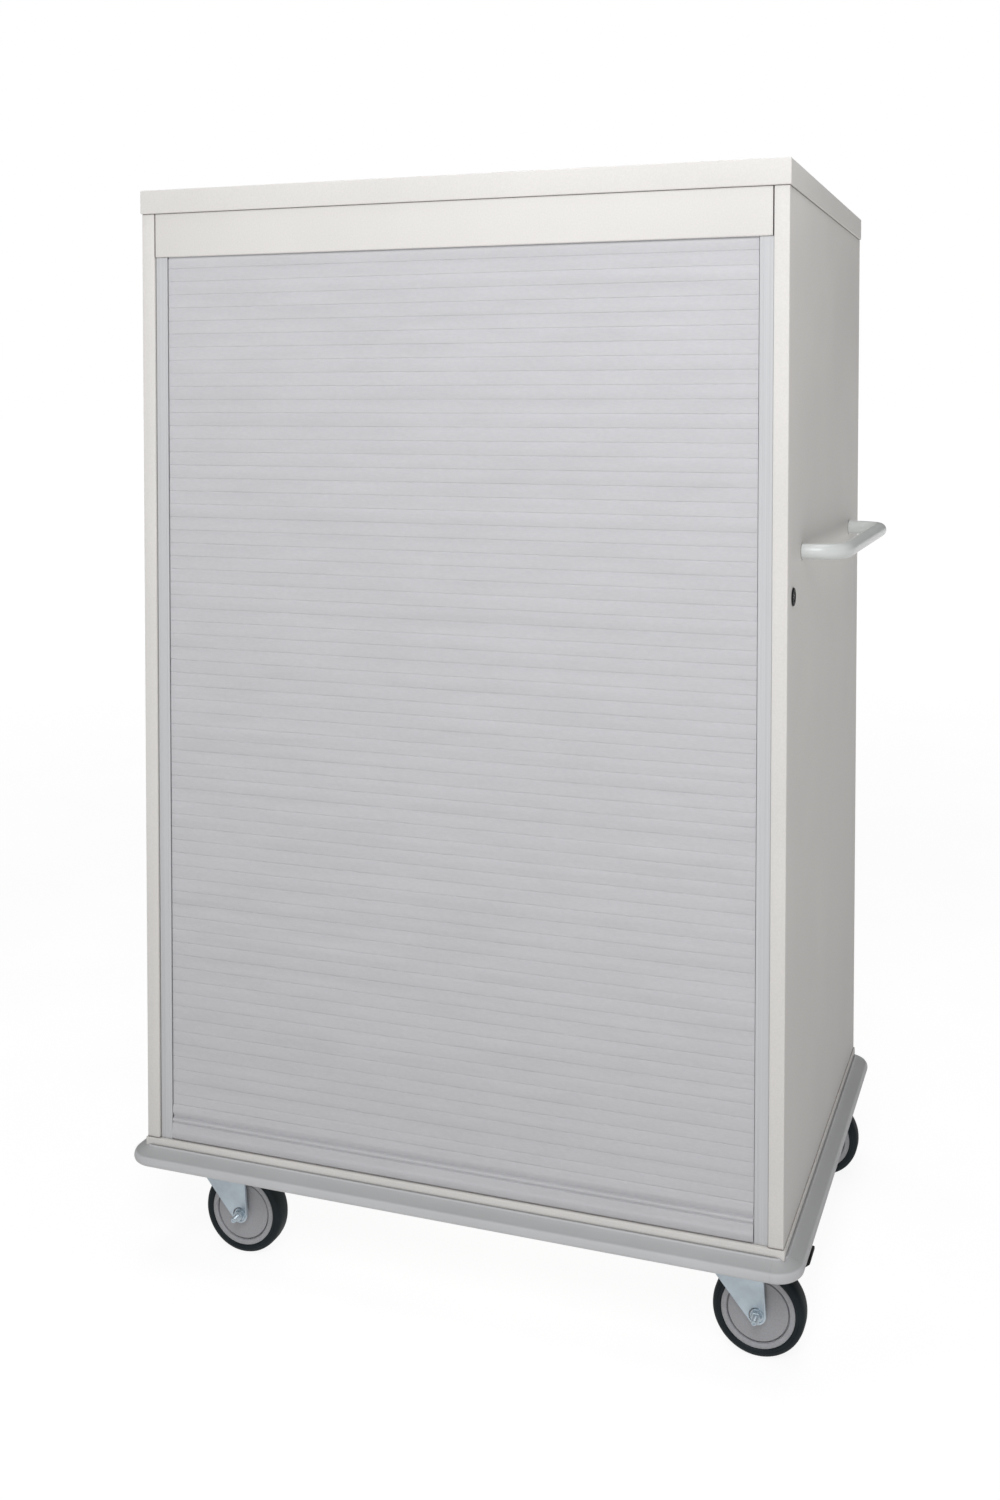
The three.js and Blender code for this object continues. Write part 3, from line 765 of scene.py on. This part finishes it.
def roller_bracket(side):
    """A plate on the side panel that holds one end of the shaft."""
    node = f"roller_bracket_{side}"
    low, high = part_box(node)
    outline = rounded_box(low.y, high.y, low.z, high.z, 9 * MM)
    made = fine(node, swept(outline, [along_x(low.x), along_x(high.x)]))
    hole = circle(SHAFT_BORE, 24, (ROLLER_Y, ROLLER_Z))
    combine(made, swept(hole, [along_x(low.x - 0.01), along_x(high.x + 0.01)]))
    stand_in(soften(made, SHEET_EDGE), node, "zinc_steel")


def balance_spring():
    """The coil spring on the shaft that carries the shutter's weight."""
    low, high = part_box("balance_spring")
    wire, turns = 2 * MM, 8
    coil, length = (high.z - low.z) / 2 - wire, high.x - low.x - 2 * wire
    out = Matrix.Translation((0, 0, coil))
    lean = Matrix.Rotation(math.atan2(length / turns, 2 * math.pi * coil), 4, "Z")
    steps = 24 * turns
    frames = []
    for i in range(steps + 1):
        here = Matrix.Translation((low.x + wire + length * i / steps, ROLLER_Y, ROLLER_Z))
        spin = Matrix.Rotation(2 * math.pi * turns * i / steps, 4, "X")
        frames.append(here @ spin @ out @ lean @ along_y(0))
    finish_node("balance_spring", swept(circle(wire, 10), frames), "spring_steel")


# ---- Lock ----

LOCK_Y = middle_of("lock_housing").y
LOCK_Z = middle_of("lock_housing").z
LOCK_AXIS = Matrix.Translation((0, LOCK_Y, LOCK_Z)) @ Matrix.Rotation(math.pi / 2, 4, "Y")


def lock_housing():
    """Black rosette in the right side panel, and the body behind it."""
    low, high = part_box("lock_housing")
    flange, body, bore = (high.z - low.z) / 2, 9 * MM, 6.4 * MM
    seat = high.x - 2 * MM
    profile = [
        (bore, low.x), (body, low.x), (body, seat), (flange, seat), (flange, seat + 0.7 * MM),
        (flange - 0.8 * MM, high.x - 0.3 * MM), (flange - 1.8 * MM, high.x), (bore + 0.9 * MM, high.x),
        (bore, high.x - 0.9 * MM),
    ]
    solid = turned(profile, LOCK_AXIS, 48, closed=True)
    finish_node("lock_housing", solid, "black_plastic")


def lock_core():
    """The cylinder, set back in the rosette, with its keyway."""
    low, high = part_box("lock_core")
    radius, tail, step, face = 6 * MM, 4 * MM, low.x + 6 * MM, high.x - 1.6 * MM
    edge = 0.5 * MM
    profile = [
        (0, low.x), (tail, low.x), (tail, step), (radius, step), (radius, face - edge),
        (radius - edge, face), (0, face),
    ]
    made = fine("lock_core", turned(profile, LOCK_AXIS, 40))
    keyway_low = (face - 6 * MM, LOCK_Y - 0.8 * MM, LOCK_Z - 3.5 * MM)
    keyway_high = (face + 1 * MM, LOCK_Y + 0.8 * MM, LOCK_Z + 3.5 * MM)
    stand_in(combine(made, block(keyway_low, keyway_high)), "lock_core", "bright_steel")


def lock_cam():
    """The tongue on the cylinder's tail that holds the shutter."""
    low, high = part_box("lock_cam")
    half, shoulder = 4.5 * MM, LOCK_Z - 4 * MM
    outline = rounded([
        (LOCK_Y - half, low.z, 2.5 * MM), (LOCK_Y + half, low.z, 2.5 * MM), (LOCK_Y + half, shoulder, 1 * MM),
    ], 3)
    outline += arc((LOCK_Y, LOCK_Z), high.z - LOCK_Z, -25, 205, 18)
    outline.append((LOCK_Y - half, shoulder))
    made = fine("lock_cam", swept(outline, [along_x(low.x), along_x(high.x)]))
    hole = circle(4.3 * MM, 24, (LOCK_Y, LOCK_Z))
    solid = swept(hole, [along_x(low.x - 0.01), along_x(high.x + 0.01)])
    stand_in(soften(combine(made, solid), 0.3 * MM), "lock_cam", "zinc_steel")


# ---- Handles ----


def handle_path(reach, span):
    """Half the handle's centre line, from the panel out and round the elbow."""
    points = [(0, -span), (reach - HANDLE_BEND, -span)]
    start, corner, end = Vector(points[1]), Vector((reach, -span)), Vector((reach, -span + HANDLE_BEND))
    for k in range(1, 17):
        t = k / 16
        points.append(tuple(start * (1 - t) ** 2 + corner * 2 * t * (1 - t) + end * t**2))
    return points


def handles():
    """Bent tubes on the side panels, each bolted through the panel from inside."""
    for side, sign in SIDES.items():
        node = f"handle_{side}"
        low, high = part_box(node)
        radius = (high.z - low.z) / 2
        panel = min(abs(low.x), abs(high.x))
        reach = max(abs(low.x), abs(high.x)) - radius - panel
        span = (high.y - low.y) / 2 - radius
        half = handle_path(reach, span)
        points = half + [(a, -b) for a, b in reversed(half)]
        frames = []
        for i, (a, b) in enumerate(points):
            before, after = points[max(i - 1, 0)], points[min(i + 1, len(points) - 1)]
            heading = Vector((sign * (after[0] - before[0]), after[1] - before[1])).normalized()
            frames.append(Matrix((
                (-heading.y, 0, heading.x, sign * (panel + a)),
                (heading.x, 0, heading.y, b),
                (0, 1, 0, (low.z + high.z) / 2),
                (0, 0, 0, 1),
            )))
        finish_node(node, swept(circle(radius, 32), frames), "handle_grey", 50)


# ---- Bumper ----

BUMPER_SECTION = [
    (0.3, 149.0, 0), (12.5, 149.0, 2), (18.6, 149.6, 2), (22.3, 153.0, 2), (23.0, 157.0, 2),
    (22.2, 161.4, 2), (20.0, 164.4, 1), (17.0, 165.5, 0.8), (11.5, 168.0, 2), (7.0, 170.3, 2),
    (3.6, 172.7, 0.6), (2.6, 174.5, 0.6), (0.3, 174.5, 0),
]  # out from the base board, up from the floor, setback of each bend, in millimetres


def bumper():
    """Four straight strips and four bent corner pieces, with a fine seam between them."""
    base_low, base_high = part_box("base_board")
    section = rounded(scaled(BUMPER_SECTION), 3)
    inner = BUMPER_CORNER - (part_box("bumper_right")[1].x - base_high.x)
    for side, turn in (("front", 180), ("rear", 0), ("left", 90), ("right", -90)):
        node = f"bumper_{side}"
        lengthwise = side in ("front", "rear")
        reach, half = (base_high.y, base_high.x) if lengthwise else (base_high.x, base_high.y)
        half -= inner + BUMPER_SEAM
        place = Matrix.Rotation(math.radians(turn), 4, "Z") @ Matrix.Translation((0, reach, 0))
        solid = swept(section, [place @ along_x(-half), place @ along_x(half)])
        finish_node(node, solid, "bumper_grey", 50)

    steps = 20
    seam = math.degrees(BUMPER_SEAM / BUMPER_CORNER)
    outward = Matrix.Translation((inner, 0, 0)) @ along_y(0)
    margin = Vector((0.2 * MM, 0.2 * MM, 0.1))
    for name, (sx, sy) in CORNERS.items():
        node = f"bumper_corner_{name}"
        centre = Matrix.Translation((sx * (base_high.x - inner), sy * (base_high.y - inner), 0))
        first = {(1, 1): 0, (-1, 1): 90, (-1, -1): 180, (1, -1): 270}[(sx, sy)]
        frames = []
        for k in range(steps + 1):
            angle = math.radians(first + seam + (90 - 2 * seam) * k / steps)
            frames.append(centre @ Matrix.Rotation(angle, 4, "Z") @ outward)
        made = fine(node, swept(section, frames))
        stand_in(combine(made, block(base_low - margin, base_high + margin)), node, "bumper_grey", 50)


# ---- Casters ----


def swivel_of(corner):
    """The swivel axis of a caster, from its joint."""
    joint = next(j for j in frame["joints"] if j["name"] == f"swivel_turn_{corner}")
    return Vector((joint["pos_m"][0], joint["pos_m"][1], 0))


def axle_of(corner):
    """A frame whose Z runs along the axle, out of the cart's rear."""
    joint = next(j for j in frame["joints"] if j["name"] == f"wheel_spin_{corner}")
    return Matrix.Translation(joint["pos_m"]) @ Matrix.Rotation(-math.pi / 2, 4, "X")


def screw_head(bm, place, radius, height):
    """A low domed head with a round recess, its Z out of the surface."""
    profile = [
        (0, -0.2 * MM), (radius, -0.2 * MM), (radius, 0.3 * MM), (radius * 0.8, height * 0.72),
        (radius * 0.45, height), (radius * 0.2, height), (radius * 0.12, height * 0.45), (0, height * 0.45),
    ]
    add_turned(bm, profile, place, 16)


def add_nut(bm, place, radius, bottom, top):
    """A hexagonal nut or head with its corners turned off."""
    chamfer = 0.54 * MM
    levels = [
        (radius * 0.90, bottom), (radius, bottom + chamfer), (radius, top - chamfer), (radius * 0.90, top),
    ]
    rings = []
    for size, height in levels:
        rings.append([bm.verts.new(place @ Vector((a, b, height))) for a, b in circle(size, 6)])
    for ring, after in zip(rings, rings[1:]):
        for i in range(6):
            bm.faces.new((ring[i], ring[(i + 1) % 6], after[(i + 1) % 6], after[i]))
    bm.faces.new(rings[0])
    bm.faces.new(rings[-1])


def caster_plate(corner):
    """Top plate with the upper ball race and the riveted king pin."""
    node = f"caster_plate_{corner}"
    low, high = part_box(node)
    at = swivel_of(corner)
    plate_bottom = high.z - PLATE_THICKNESS
    outline = rounded_box(low.x, high.x, low.y, high.y, 9 * MM)
    plate = swept(outline, [along_z(plate_bottom), along_z(high.z)])
    made = soften(fine(node, plate), SHEET_EDGE)
    race_and_pin = [
        (0, 127 * MM), (6.5 * MM, 127 * MM), (8.6 * MM, 128.2 * MM), (9 * MM, 131 * MM), (6 * MM, 131 * MM),
        (6 * MM, 143.2 * MM), (24.5 * MM, 143.2 * MM), (26.4 * MM, 144.4 * MM), (27.2 * MM, 148 * MM),
        (28.4 * MM, plate_bottom + 0.5 * MM), (0, plate_bottom + 0.5 * MM),
    ]
    combine(made, turned(race_and_pin, Matrix.Translation(at)), "UNION")
    stand_in(made, node, "zinc_steel")


def caster_screws(corner):
    """The four hexagon screws and washers that hold a caster's plate to the base board."""
    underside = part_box(f"caster_plate_{corner}")[1].z - PLATE_THICKNESS
    washer = [(0, -0.1 * MM), (8 * MM, -0.1 * MM), (8 * MM, 1.2 * MM), (0, 1.2 * MM)]
    bm = bmesh.new()
    for sx in (-1, 1):
        for sy in (-1, 1):
            spot = swivel_of(corner) + Vector((sx * 41 * MM, sy * 31 * MM, underside))
            place = Matrix.Translation(spot) @ Matrix.Rotation(math.pi, 4, "X")
            add_turned(bm, washer, place, 24)
            add_nut(bm, place, 6.5 * MM, 1.2 * MM, 5.6 * MM)
    dress(new_object(f"caster_screws_{corner}", bm), "bright_steel", "cabinet")


def fork_blank(at, axle, left, right):
    """Crown and cheeks as one bent strip, cut to the cheeks' side view."""
    low, inner, outer = axle[1] - 20 * MM, CHEEK["inside"], CHEEK["inside"] + CHEEK["thickness"]
    bend, crown_bottom = 7 * MM, CROWN_TOP - 3.5 * MM
    section = rounded([
        (at.y - outer, low, 0),
        (at.y - outer, CROWN_TOP, bend),
        (at.y + outer, CROWN_TOP, bend),
        (at.y + outer, low, 0),
        (at.y + inner, low, 0),
        (at.y + inner, crown_bottom, bend - 3 * MM),
        (at.y - inner, crown_bottom, bend - 3 * MM),
        (at.y - inner, low, 0),
    ], 6)
    strip = new_object("fork_blank", swept(section, [along_x(left), along_x(right)]))

    outline = [(left, CROWN_TOP + 0.01), (left, CROWN_TOP - 9 * MM)]
    outline += arc(axle, 12.6 * MM, 214, 352, 18)
    outline += [
        (axle[0] + 12.8 * MM, axle[1]),
        (axle[0] + 8 * MM, CROWN_TOP - 6 * MM),
        (axle[0] + 7.5 * MM, CROWN_TOP + 0.01),
    ]
    return combine(strip, swept(outline, [along_y(at.y - 0.05), along_y(at.y + 0.05)]), "INTERSECT")


def cut_axle_seats(made, at, axle):
    """A rim down each cheek's right edge, a dished seat for the nut and a slot part way round it."""
    outside = CHEEK["inside"] + CHEEK["thickness"]
    for side in (-1, 1):
        face = at.y + side * outside
        rim = [
            (axle[0] + 10.4 * MM, axle[1]),
            (axle[0] + 12.8 * MM, axle[1]),
            (axle[0] + 8 * MM, CROWN_TOP - 8 * MM),
            (axle[0] + 5.6 * MM, CROWN_TOP - 8 * MM),
        ]
        solid = swept(rim, [along_y(face - side * 1 * MM), along_y(face + side * 1.6 * MM)])
        combine(made, solid, "UNION")
        dish = circle(10.2 * MM, 32, axle)
        combine(made, swept(dish, [along_y(face - side * 1.6 * MM), along_y(face + side * 0.01)]))
        slot = arc(axle, 10.6 * MM, 75, 225, 16) + arc(axle, 8.8 * MM, 225, 75, 16)
        combine(made, swept(slot, [along_y(face - side * 0.01), along_y(face + side * 0.01)]))


def fork(corner):
    """Pressed fork: crown with its ball race, and two cheeks that hold the axle."""
    node = f"fork_{corner}"
    at = swivel_of(corner)
    axle = (at.x + WHEEL["trail"], WHEEL["radius"])
    left, right = at.x - 32 * MM, axle[0] + 12.8 * MM
    made = fork_blank(at, axle, left, right)
    made.name = f"{node}_finished"
    cut_axle_seats(made, at, axle)

    # the crown stops short of the wheel behind it
    low = (at.x + 34 * MM, at.y - CHEEK["inside"], CROWN_TOP - 20 * MM)
    combine(made, block(low, (right + 0.01, at.y + CHEEK["inside"], CROWN_TOP + 0.01)))

    holes = [(axle, 4.4 * MM)]
    if corner in BRAKED:
        pin = middle_of(f"brake_pin_{corner}")
        holes.append(((pin.x, pin.z), 3.4 * MM))
    for middle, radius in holes:
        combine(made, swept(circle(radius, 20, middle), [along_y(at.y - 0.06), along_y(at.y + 0.06)]))

    bore = 6.6 * MM
    race = [
        (bore, CROWN_TOP - 1 * MM), (25.5 * MM, CROWN_TOP - 1 * MM), (27.6 * MM, 138 * MM),
        (29 * MM, 140 * MM), (29 * MM, 141.6 * MM), (28 * MM, 142.6 * MM), (bore, 142.6 * MM),
    ]
    combine(made, turned(race, Matrix.Translation(at), 48, closed=True), "UNION")
    combine(made, turned([(0, 0.12), (bore, 0.12), (bore, 0.15), (0, 0.15)], Matrix.Translation(at), 24))
    stand_in(soften(made, SHEET_EDGE), node, "zinc_steel")


def tyre(corner):
    """Solid tyre: a crowned tread, round shoulders and a fine line round each side wall."""
    node = f"tyre_{corner}"
    half = [
        (50.3, 0), (50.3, 14.3), (51.6, 15.7), (53.2, 16.0), (54.4, 15.9), (54.8, 15.5), (55.3, 15.8),
        (58.0, 15.0), (60.4, 13.2), (61.8, 10.6), (62.4, 6.5), (62.5, 0),
    ]
    solid = turned(mirrored(scaled(half)), axle_of(corner), 96, closed=True)
    finish_node(node, solid, "tyre_rubber", 40)


def wheel_hub(corner):
    """Moulded wheel body: a flat disc, a deep groove, a raised rim and a boss round the bore."""
    node = f"wheel_hub_{corner}"
    half = [
        (4.4, 20.0), (8.6, 20.0), (9.6, 19.4), (10.2, 14.6), (11.0, 13.8), (12.5, 13.5), (39.6, 13.3),
        (40.4, 13.0), (40.8, 12.4), (41.0, 8.4), (42.4, 8.4), (42.6, 13.4), (43.3, 14.3), (44.2, 14.5),
        (49.0, 14.5), (49.8, 14.1), (50.0, 13.3),
    ]
    solid = turned(mirrored(scaled(half)), axle_of(corner), 96, closed=True)
    finish_node(node, solid, "wheel_grey", 40)


AXLE_RADIUS = 4 * MM
AXLE_SEAT = CHEEK["inside"] + CHEEK["thickness"] - 1.6 * MM  # bottom of the dish in a cheek
WASHER = 1.4 * MM


def axle_bolt(corner):
    """Bolt with a flanged hexagonal head behind, and a threaded end in front."""
    node = f"axle_bolt_{corner}"
    place = axle_of(corner)
    low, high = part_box(node)
    start, end = low.y - place.translation.y, high.y - place.translation.y
    pitch = 1.25 * MM
    thread_end = -AXLE_SEAT + 2 * MM
    profile = [
        (0, start + 1.2 * MM), (1.2 * MM, start + 1.0 * MM), (1.6 * MM, start),
        (AXLE_RADIUS - 0.9 * MM, start),
    ]
    along = start + 0.9 * MM
    while along < thread_end:
        profile += [(AXLE_RADIUS - 0.55 * MM, along), (AXLE_RADIUS, along + pitch / 2)]
        along += pitch
    profile += [(AXLE_RADIUS, thread_end), (AXLE_RADIUS, AXLE_SEAT)]
    profile += [(8.2 * MM, AXLE_SEAT), (8.2 * MM, AXLE_SEAT + WASHER), (0, AXLE_SEAT + WASHER)]
    bm = bmesh.new()
    add_turned(bm, profile, place, 28)
    add_nut(bm, place, 7.5 * MM, AXLE_SEAT + WASHER, end)
    finish_node(node, bm, "zinc_steel")


def axle_nut(corner):
    """Washer and hexagonal nut on the bolt's threaded end."""
    node = f"axle_nut_{corner}"
    place = axle_of(corner)
    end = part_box(node)[0].y - place.translation.y
    seat, face = -AXLE_SEAT, -AXLE_SEAT - WASHER
    bm = bmesh.new()
    washer = [(AXLE_RADIUS, seat), (8.6 * MM, seat), (8.6 * MM, face), (AXLE_RADIUS, face)]
    add_turned(bm, washer, place, 32, closed=True)
    add_nut(bm, place, 7.5 * MM, end, face)
    finish_node(node, bm, "zinc_steel")


def brake_pedal(corner):
    """Brake pedal with a ribbed tread."""
    node = f"brake_pedal_{corner}"
    low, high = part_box(node)
    pin = middle_of(f"brake_pin_{corner}")
    tip, z = high.x, pin.z
    outline = arc((pin.x, z), 5 * MM, 90, 270, 14) + rounded([
        (tip - 16.5 * MM, z - 4.5 * MM, 3 * MM),
        (tip - 8.5 * MM, z + 3 * MM, 3 * MM),
        (tip, z + 10 * MM, 1.5 * MM),
        (tip, z + 15 * MM, 1.5 * MM),
        (tip - 4.5 * MM, z + 15 * MM, 1.5 * MM),
        (tip - 12.5 * MM, z + 8.5 * MM, 3 * MM),
        (tip - 21.5 * MM, z + 5 * MM, 3 * MM),
    ], 4)
    made = fine(node, swept(outline, [along_y(low.y), along_y(high.y)]))
    hole = circle(3.4 * MM, 20, (pin.x, z))
    combine(made, swept(hole, [along_y(low.y - 0.01), along_y(high.y + 0.01)]))
    slope = Matrix.Translation((tip - 4.3 * MM, 0, z + 6.4 * MM)) @ Matrix.Rotation(math.radians(50), 4, "Y")
    for k in range(4):
        up = (2.3 * k - 3.6) * MM
        groove = circle(0.6 * MM, 10, (0, up))
        combine(made, swept(groove, [slope @ along_y(low.y + 3 * MM), slope @ along_y(high.y - 3 * MM)]))
    stand_in(soften(made, 0.4 * MM), node, "black_plastic")


def brake_pin(corner):
    """The rivet that a pedal turns on."""
    node = f"brake_pin_{corner}"
    low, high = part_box(node)
    middle = middle_of(node)
    place = Matrix.Translation((middle.x, 0, middle.z)) @ Matrix.Rotation(-math.pi / 2, 4, "X")
    solid = turned(pin_profile((high.z - low.z) / 2, low.y, high.y, 0.5 * MM), place, 20)
    finish_node(node, solid, "zinc_steel")


# ---- Fasteners ----


def bumper_screws():
    """Small screws through the bumper's slope."""
    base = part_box("base_board")[1]
    bm = bmesh.new()
    out, height, lean = 9 * MM, 164.9 * MM, math.radians(27)
    long_side, short_side = (base.y, 0.27), (base.x, 0.18)
    sides = ((180, *long_side), (0, *long_side), (90, *short_side), (-90, *short_side))
    for turn, reach, off_middle in sides:
        for x in (-off_middle, off_middle):
            spot = Matrix.Rotation(math.radians(turn), 4, "Z") @ Matrix.Translation((x, reach + out, height))
            screw_head(bm, spot @ Matrix.Rotation(-lean, 4, "X"), 2.4 * MM, 0.9 * MM)
    dress(new_object("bumper_screws", bm), "bright_steel", "cabinet")


def handle_screws():
    """The heads inside the panels that hold the handles."""
    bm = bmesh.new()
    for side, sign in SIDES.items():
        low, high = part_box(f"handle_{side}")
        panel_low, panel_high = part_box(f"side_panel_{side}")
        inside = min(abs(panel_low.x), abs(panel_high.x))
        radius = (high.z - low.z) / 2
        for y in (low.y + radius, high.y - radius):
            place = Matrix.Translation((sign * inside, y, (low.z + high.z) / 2))
            screw_head(bm, place @ Matrix.Rotation(-sign * math.pi / 2, 4, "Y"), 6 * MM, 2.6 * MM)
    dress(new_object("handle_screws", bm), "bright_steel", "cabinet")


def back_screws():
    """Screws round the edge of the back panel."""
    low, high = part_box("back_panel")
    inset = 12 * MM
    bm = bmesh.new()
    heights = [low.z + (high.z - low.z) * share for share in (0.03, 0.22, 0.41, 0.59, 0.78, 0.97)]
    spots = [(sx * (high.x - inset), z) for sx in (-1, 1) for z in heights]
    spots += [(x, z) for x in (-0.3, 0, 0.3) for z in (low.z + inset, high.z - inset)]
    for x, z in spots:
        place = Matrix.Translation((x, high.y, z)) @ Matrix.Rotation(-math.pi / 2, 4, "X")
        screw_head(bm, place, 3.4 * MM, 1.0 * MM)
    dress(new_object("back_panel_screws", bm), "bright_steel", "cabinet")


def shelf_pins():
    """Four pins under each shelf, pushed into the side panels."""
    pin = [
        (0, -3 * MM), (2.4 * MM, -3 * MM), (3 * MM, -0.2 * MM), (3 * MM, 8 * MM),
        (2.4 * MM, 8.6 * MM), (0, 8.6 * MM),
    ]
    bm = bmesh.new()
    for level in ("lower", "middle", "upper"):
        low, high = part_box(f"shelf_{level}")
        for sx in (-1, 1):
            for y in (low.y + 40 * MM, high.y - 40 * MM):
                spot = Matrix.Translation((sx * high.x, y, low.z - 3.2 * MM))
                add_turned(bm, pin, spot @ Matrix.Rotation(-sx * math.pi / 2, 4, "Y"), 20)
    dress(new_object("shelf_pins", bm), "bright_steel", "cabinet")


# ---- Making the cart ----

boards()
fascia()
guides()
curtain()
curtain_over_roller()
grip_bar()
roller_tube()
shutter_coil()
roller_shaft()
for side in SIDES:
    roller_bracket(side)
balance_spring()
lock_housing()
lock_core()
lock_cam()
handles()
bumper()
for corner in CORNERS:
    caster_plate(corner)
    caster_screws(corner)
    fork(corner)
    tyre(corner)
    wheel_hub(corner)
    axle_bolt(corner)
    axle_nut(corner)
for corner in BRAKED:
    brake_pedal(corner)
    brake_pin(corner)
bumper_screws()
handle_screws()
back_screws()
shelf_pins()

# ---- Floor, light and camera ----


def floor():
    """A plain pale floor that runs into the white background."""
    bm = bmesh.new()
    bmesh.ops.create_grid(bm, x_segments=1, y_segments=1, size=400)
    made = new_object("floor", bm)
    paper, tree, shader, place = nodes_of("pale_floor")
    tone = tinted(tree, noise(tree, place, 3, 3), (0.15, 0.15, 0.15), (0.17, 0.17, 0.17))
    distance = add_node(tree, "VectorMath", {0: place})
    distance.operation = "LENGTH"
    lit = between(tree, distance.outputs["Value"], FLOOR_GLOW, 1.0, 1, 7)
    shown = between(tree, distance.outputs["Value"], FLOOR_SEEN, 1.0, 2, 7)
    seen = tree.nodes.new("ShaderNodeLightPath").outputs["Is Camera Ray"]
    glow = between(tree, seen, lit, shown, 0, 1)
    connect(tree, shader, base_color=tone, roughness=0.9, specular_ior_level=0.1)
    connect(tree, shader, emission_color=(1, 1, 1, 1), emission_strength=glow)
    made.data.materials.append(paper)


def sky():
    """Weak even light from all round, behind a white background."""
    world = bpy.data.worlds.new("studio")
    scene.world = world
    world.use_nodes = True
    tree = world.node_tree
    back = tree.nodes["Background"]
    seen = tree.nodes.new("ShaderNodeLightPath").outputs["Is Camera Ray"]
    level = between(tree, seen, SKY_LIGHT, 1.0, 0, 1)
    back.inputs["Color"].default_value = (1, 1, 1, 1)
    tree.links.new(level, back.inputs["Strength"])


def soft_box(name, place, target, size, power, colour=(1, 1, 1)):
    """A large square lamp that faces a point."""
    data = bpy.data.lights.new(name, "AREA")
    data.shape = "SQUARE"
    data.size = size
    data.energy = power
    data.color = colour
    lamp = bpy.data.objects.new(name, data)
    lamp.location = place
    lamp.rotation_euler = (Vector(target) - Vector(place)).to_track_quat("-Z", "Y").to_euler()
    scene.collection.objects.link(lamp)


def camera():
    """A standing viewer's eye, nearly level, with the frame shifted down to take in the wheels."""
    data = bpy.data.cameras.new("camera")
    data.sensor_width = 36
    data.lens = LENS
    data.shift_x, data.shift_y = SHIFT
    data.clip_end = 200
    made = bpy.data.objects.new("camera", data)
    level = math.pi / 2 - CAMERA["dip"]
    aim = Matrix.Rotation(CAMERA["turn"], 4, "Z") @ Matrix.Rotation(level, 4, "X")
    made.matrix_world = Matrix.Translation(CAMERA["place"]) @ aim @ Matrix.Rotation(CAMERA["roll"], 4, "Z")
    scene.collection.objects.link(made)
    scene.camera = made


floor()
sky()
soft_box("key", (0.8, -2.7, 2.7), target=(0, 0, 0.8), size=1.2, power=47, colour=(0.97, 0.985, 1))
soft_box("top", (0, 0, 5), target=(0, 0, 0), size=3, power=85)
soft_box("low", (0.2, -3.2, 0.5), target=(0, 0, 0.3), size=1.0, power=7)
camera()
scene.view_settings.view_transform = "Standard"
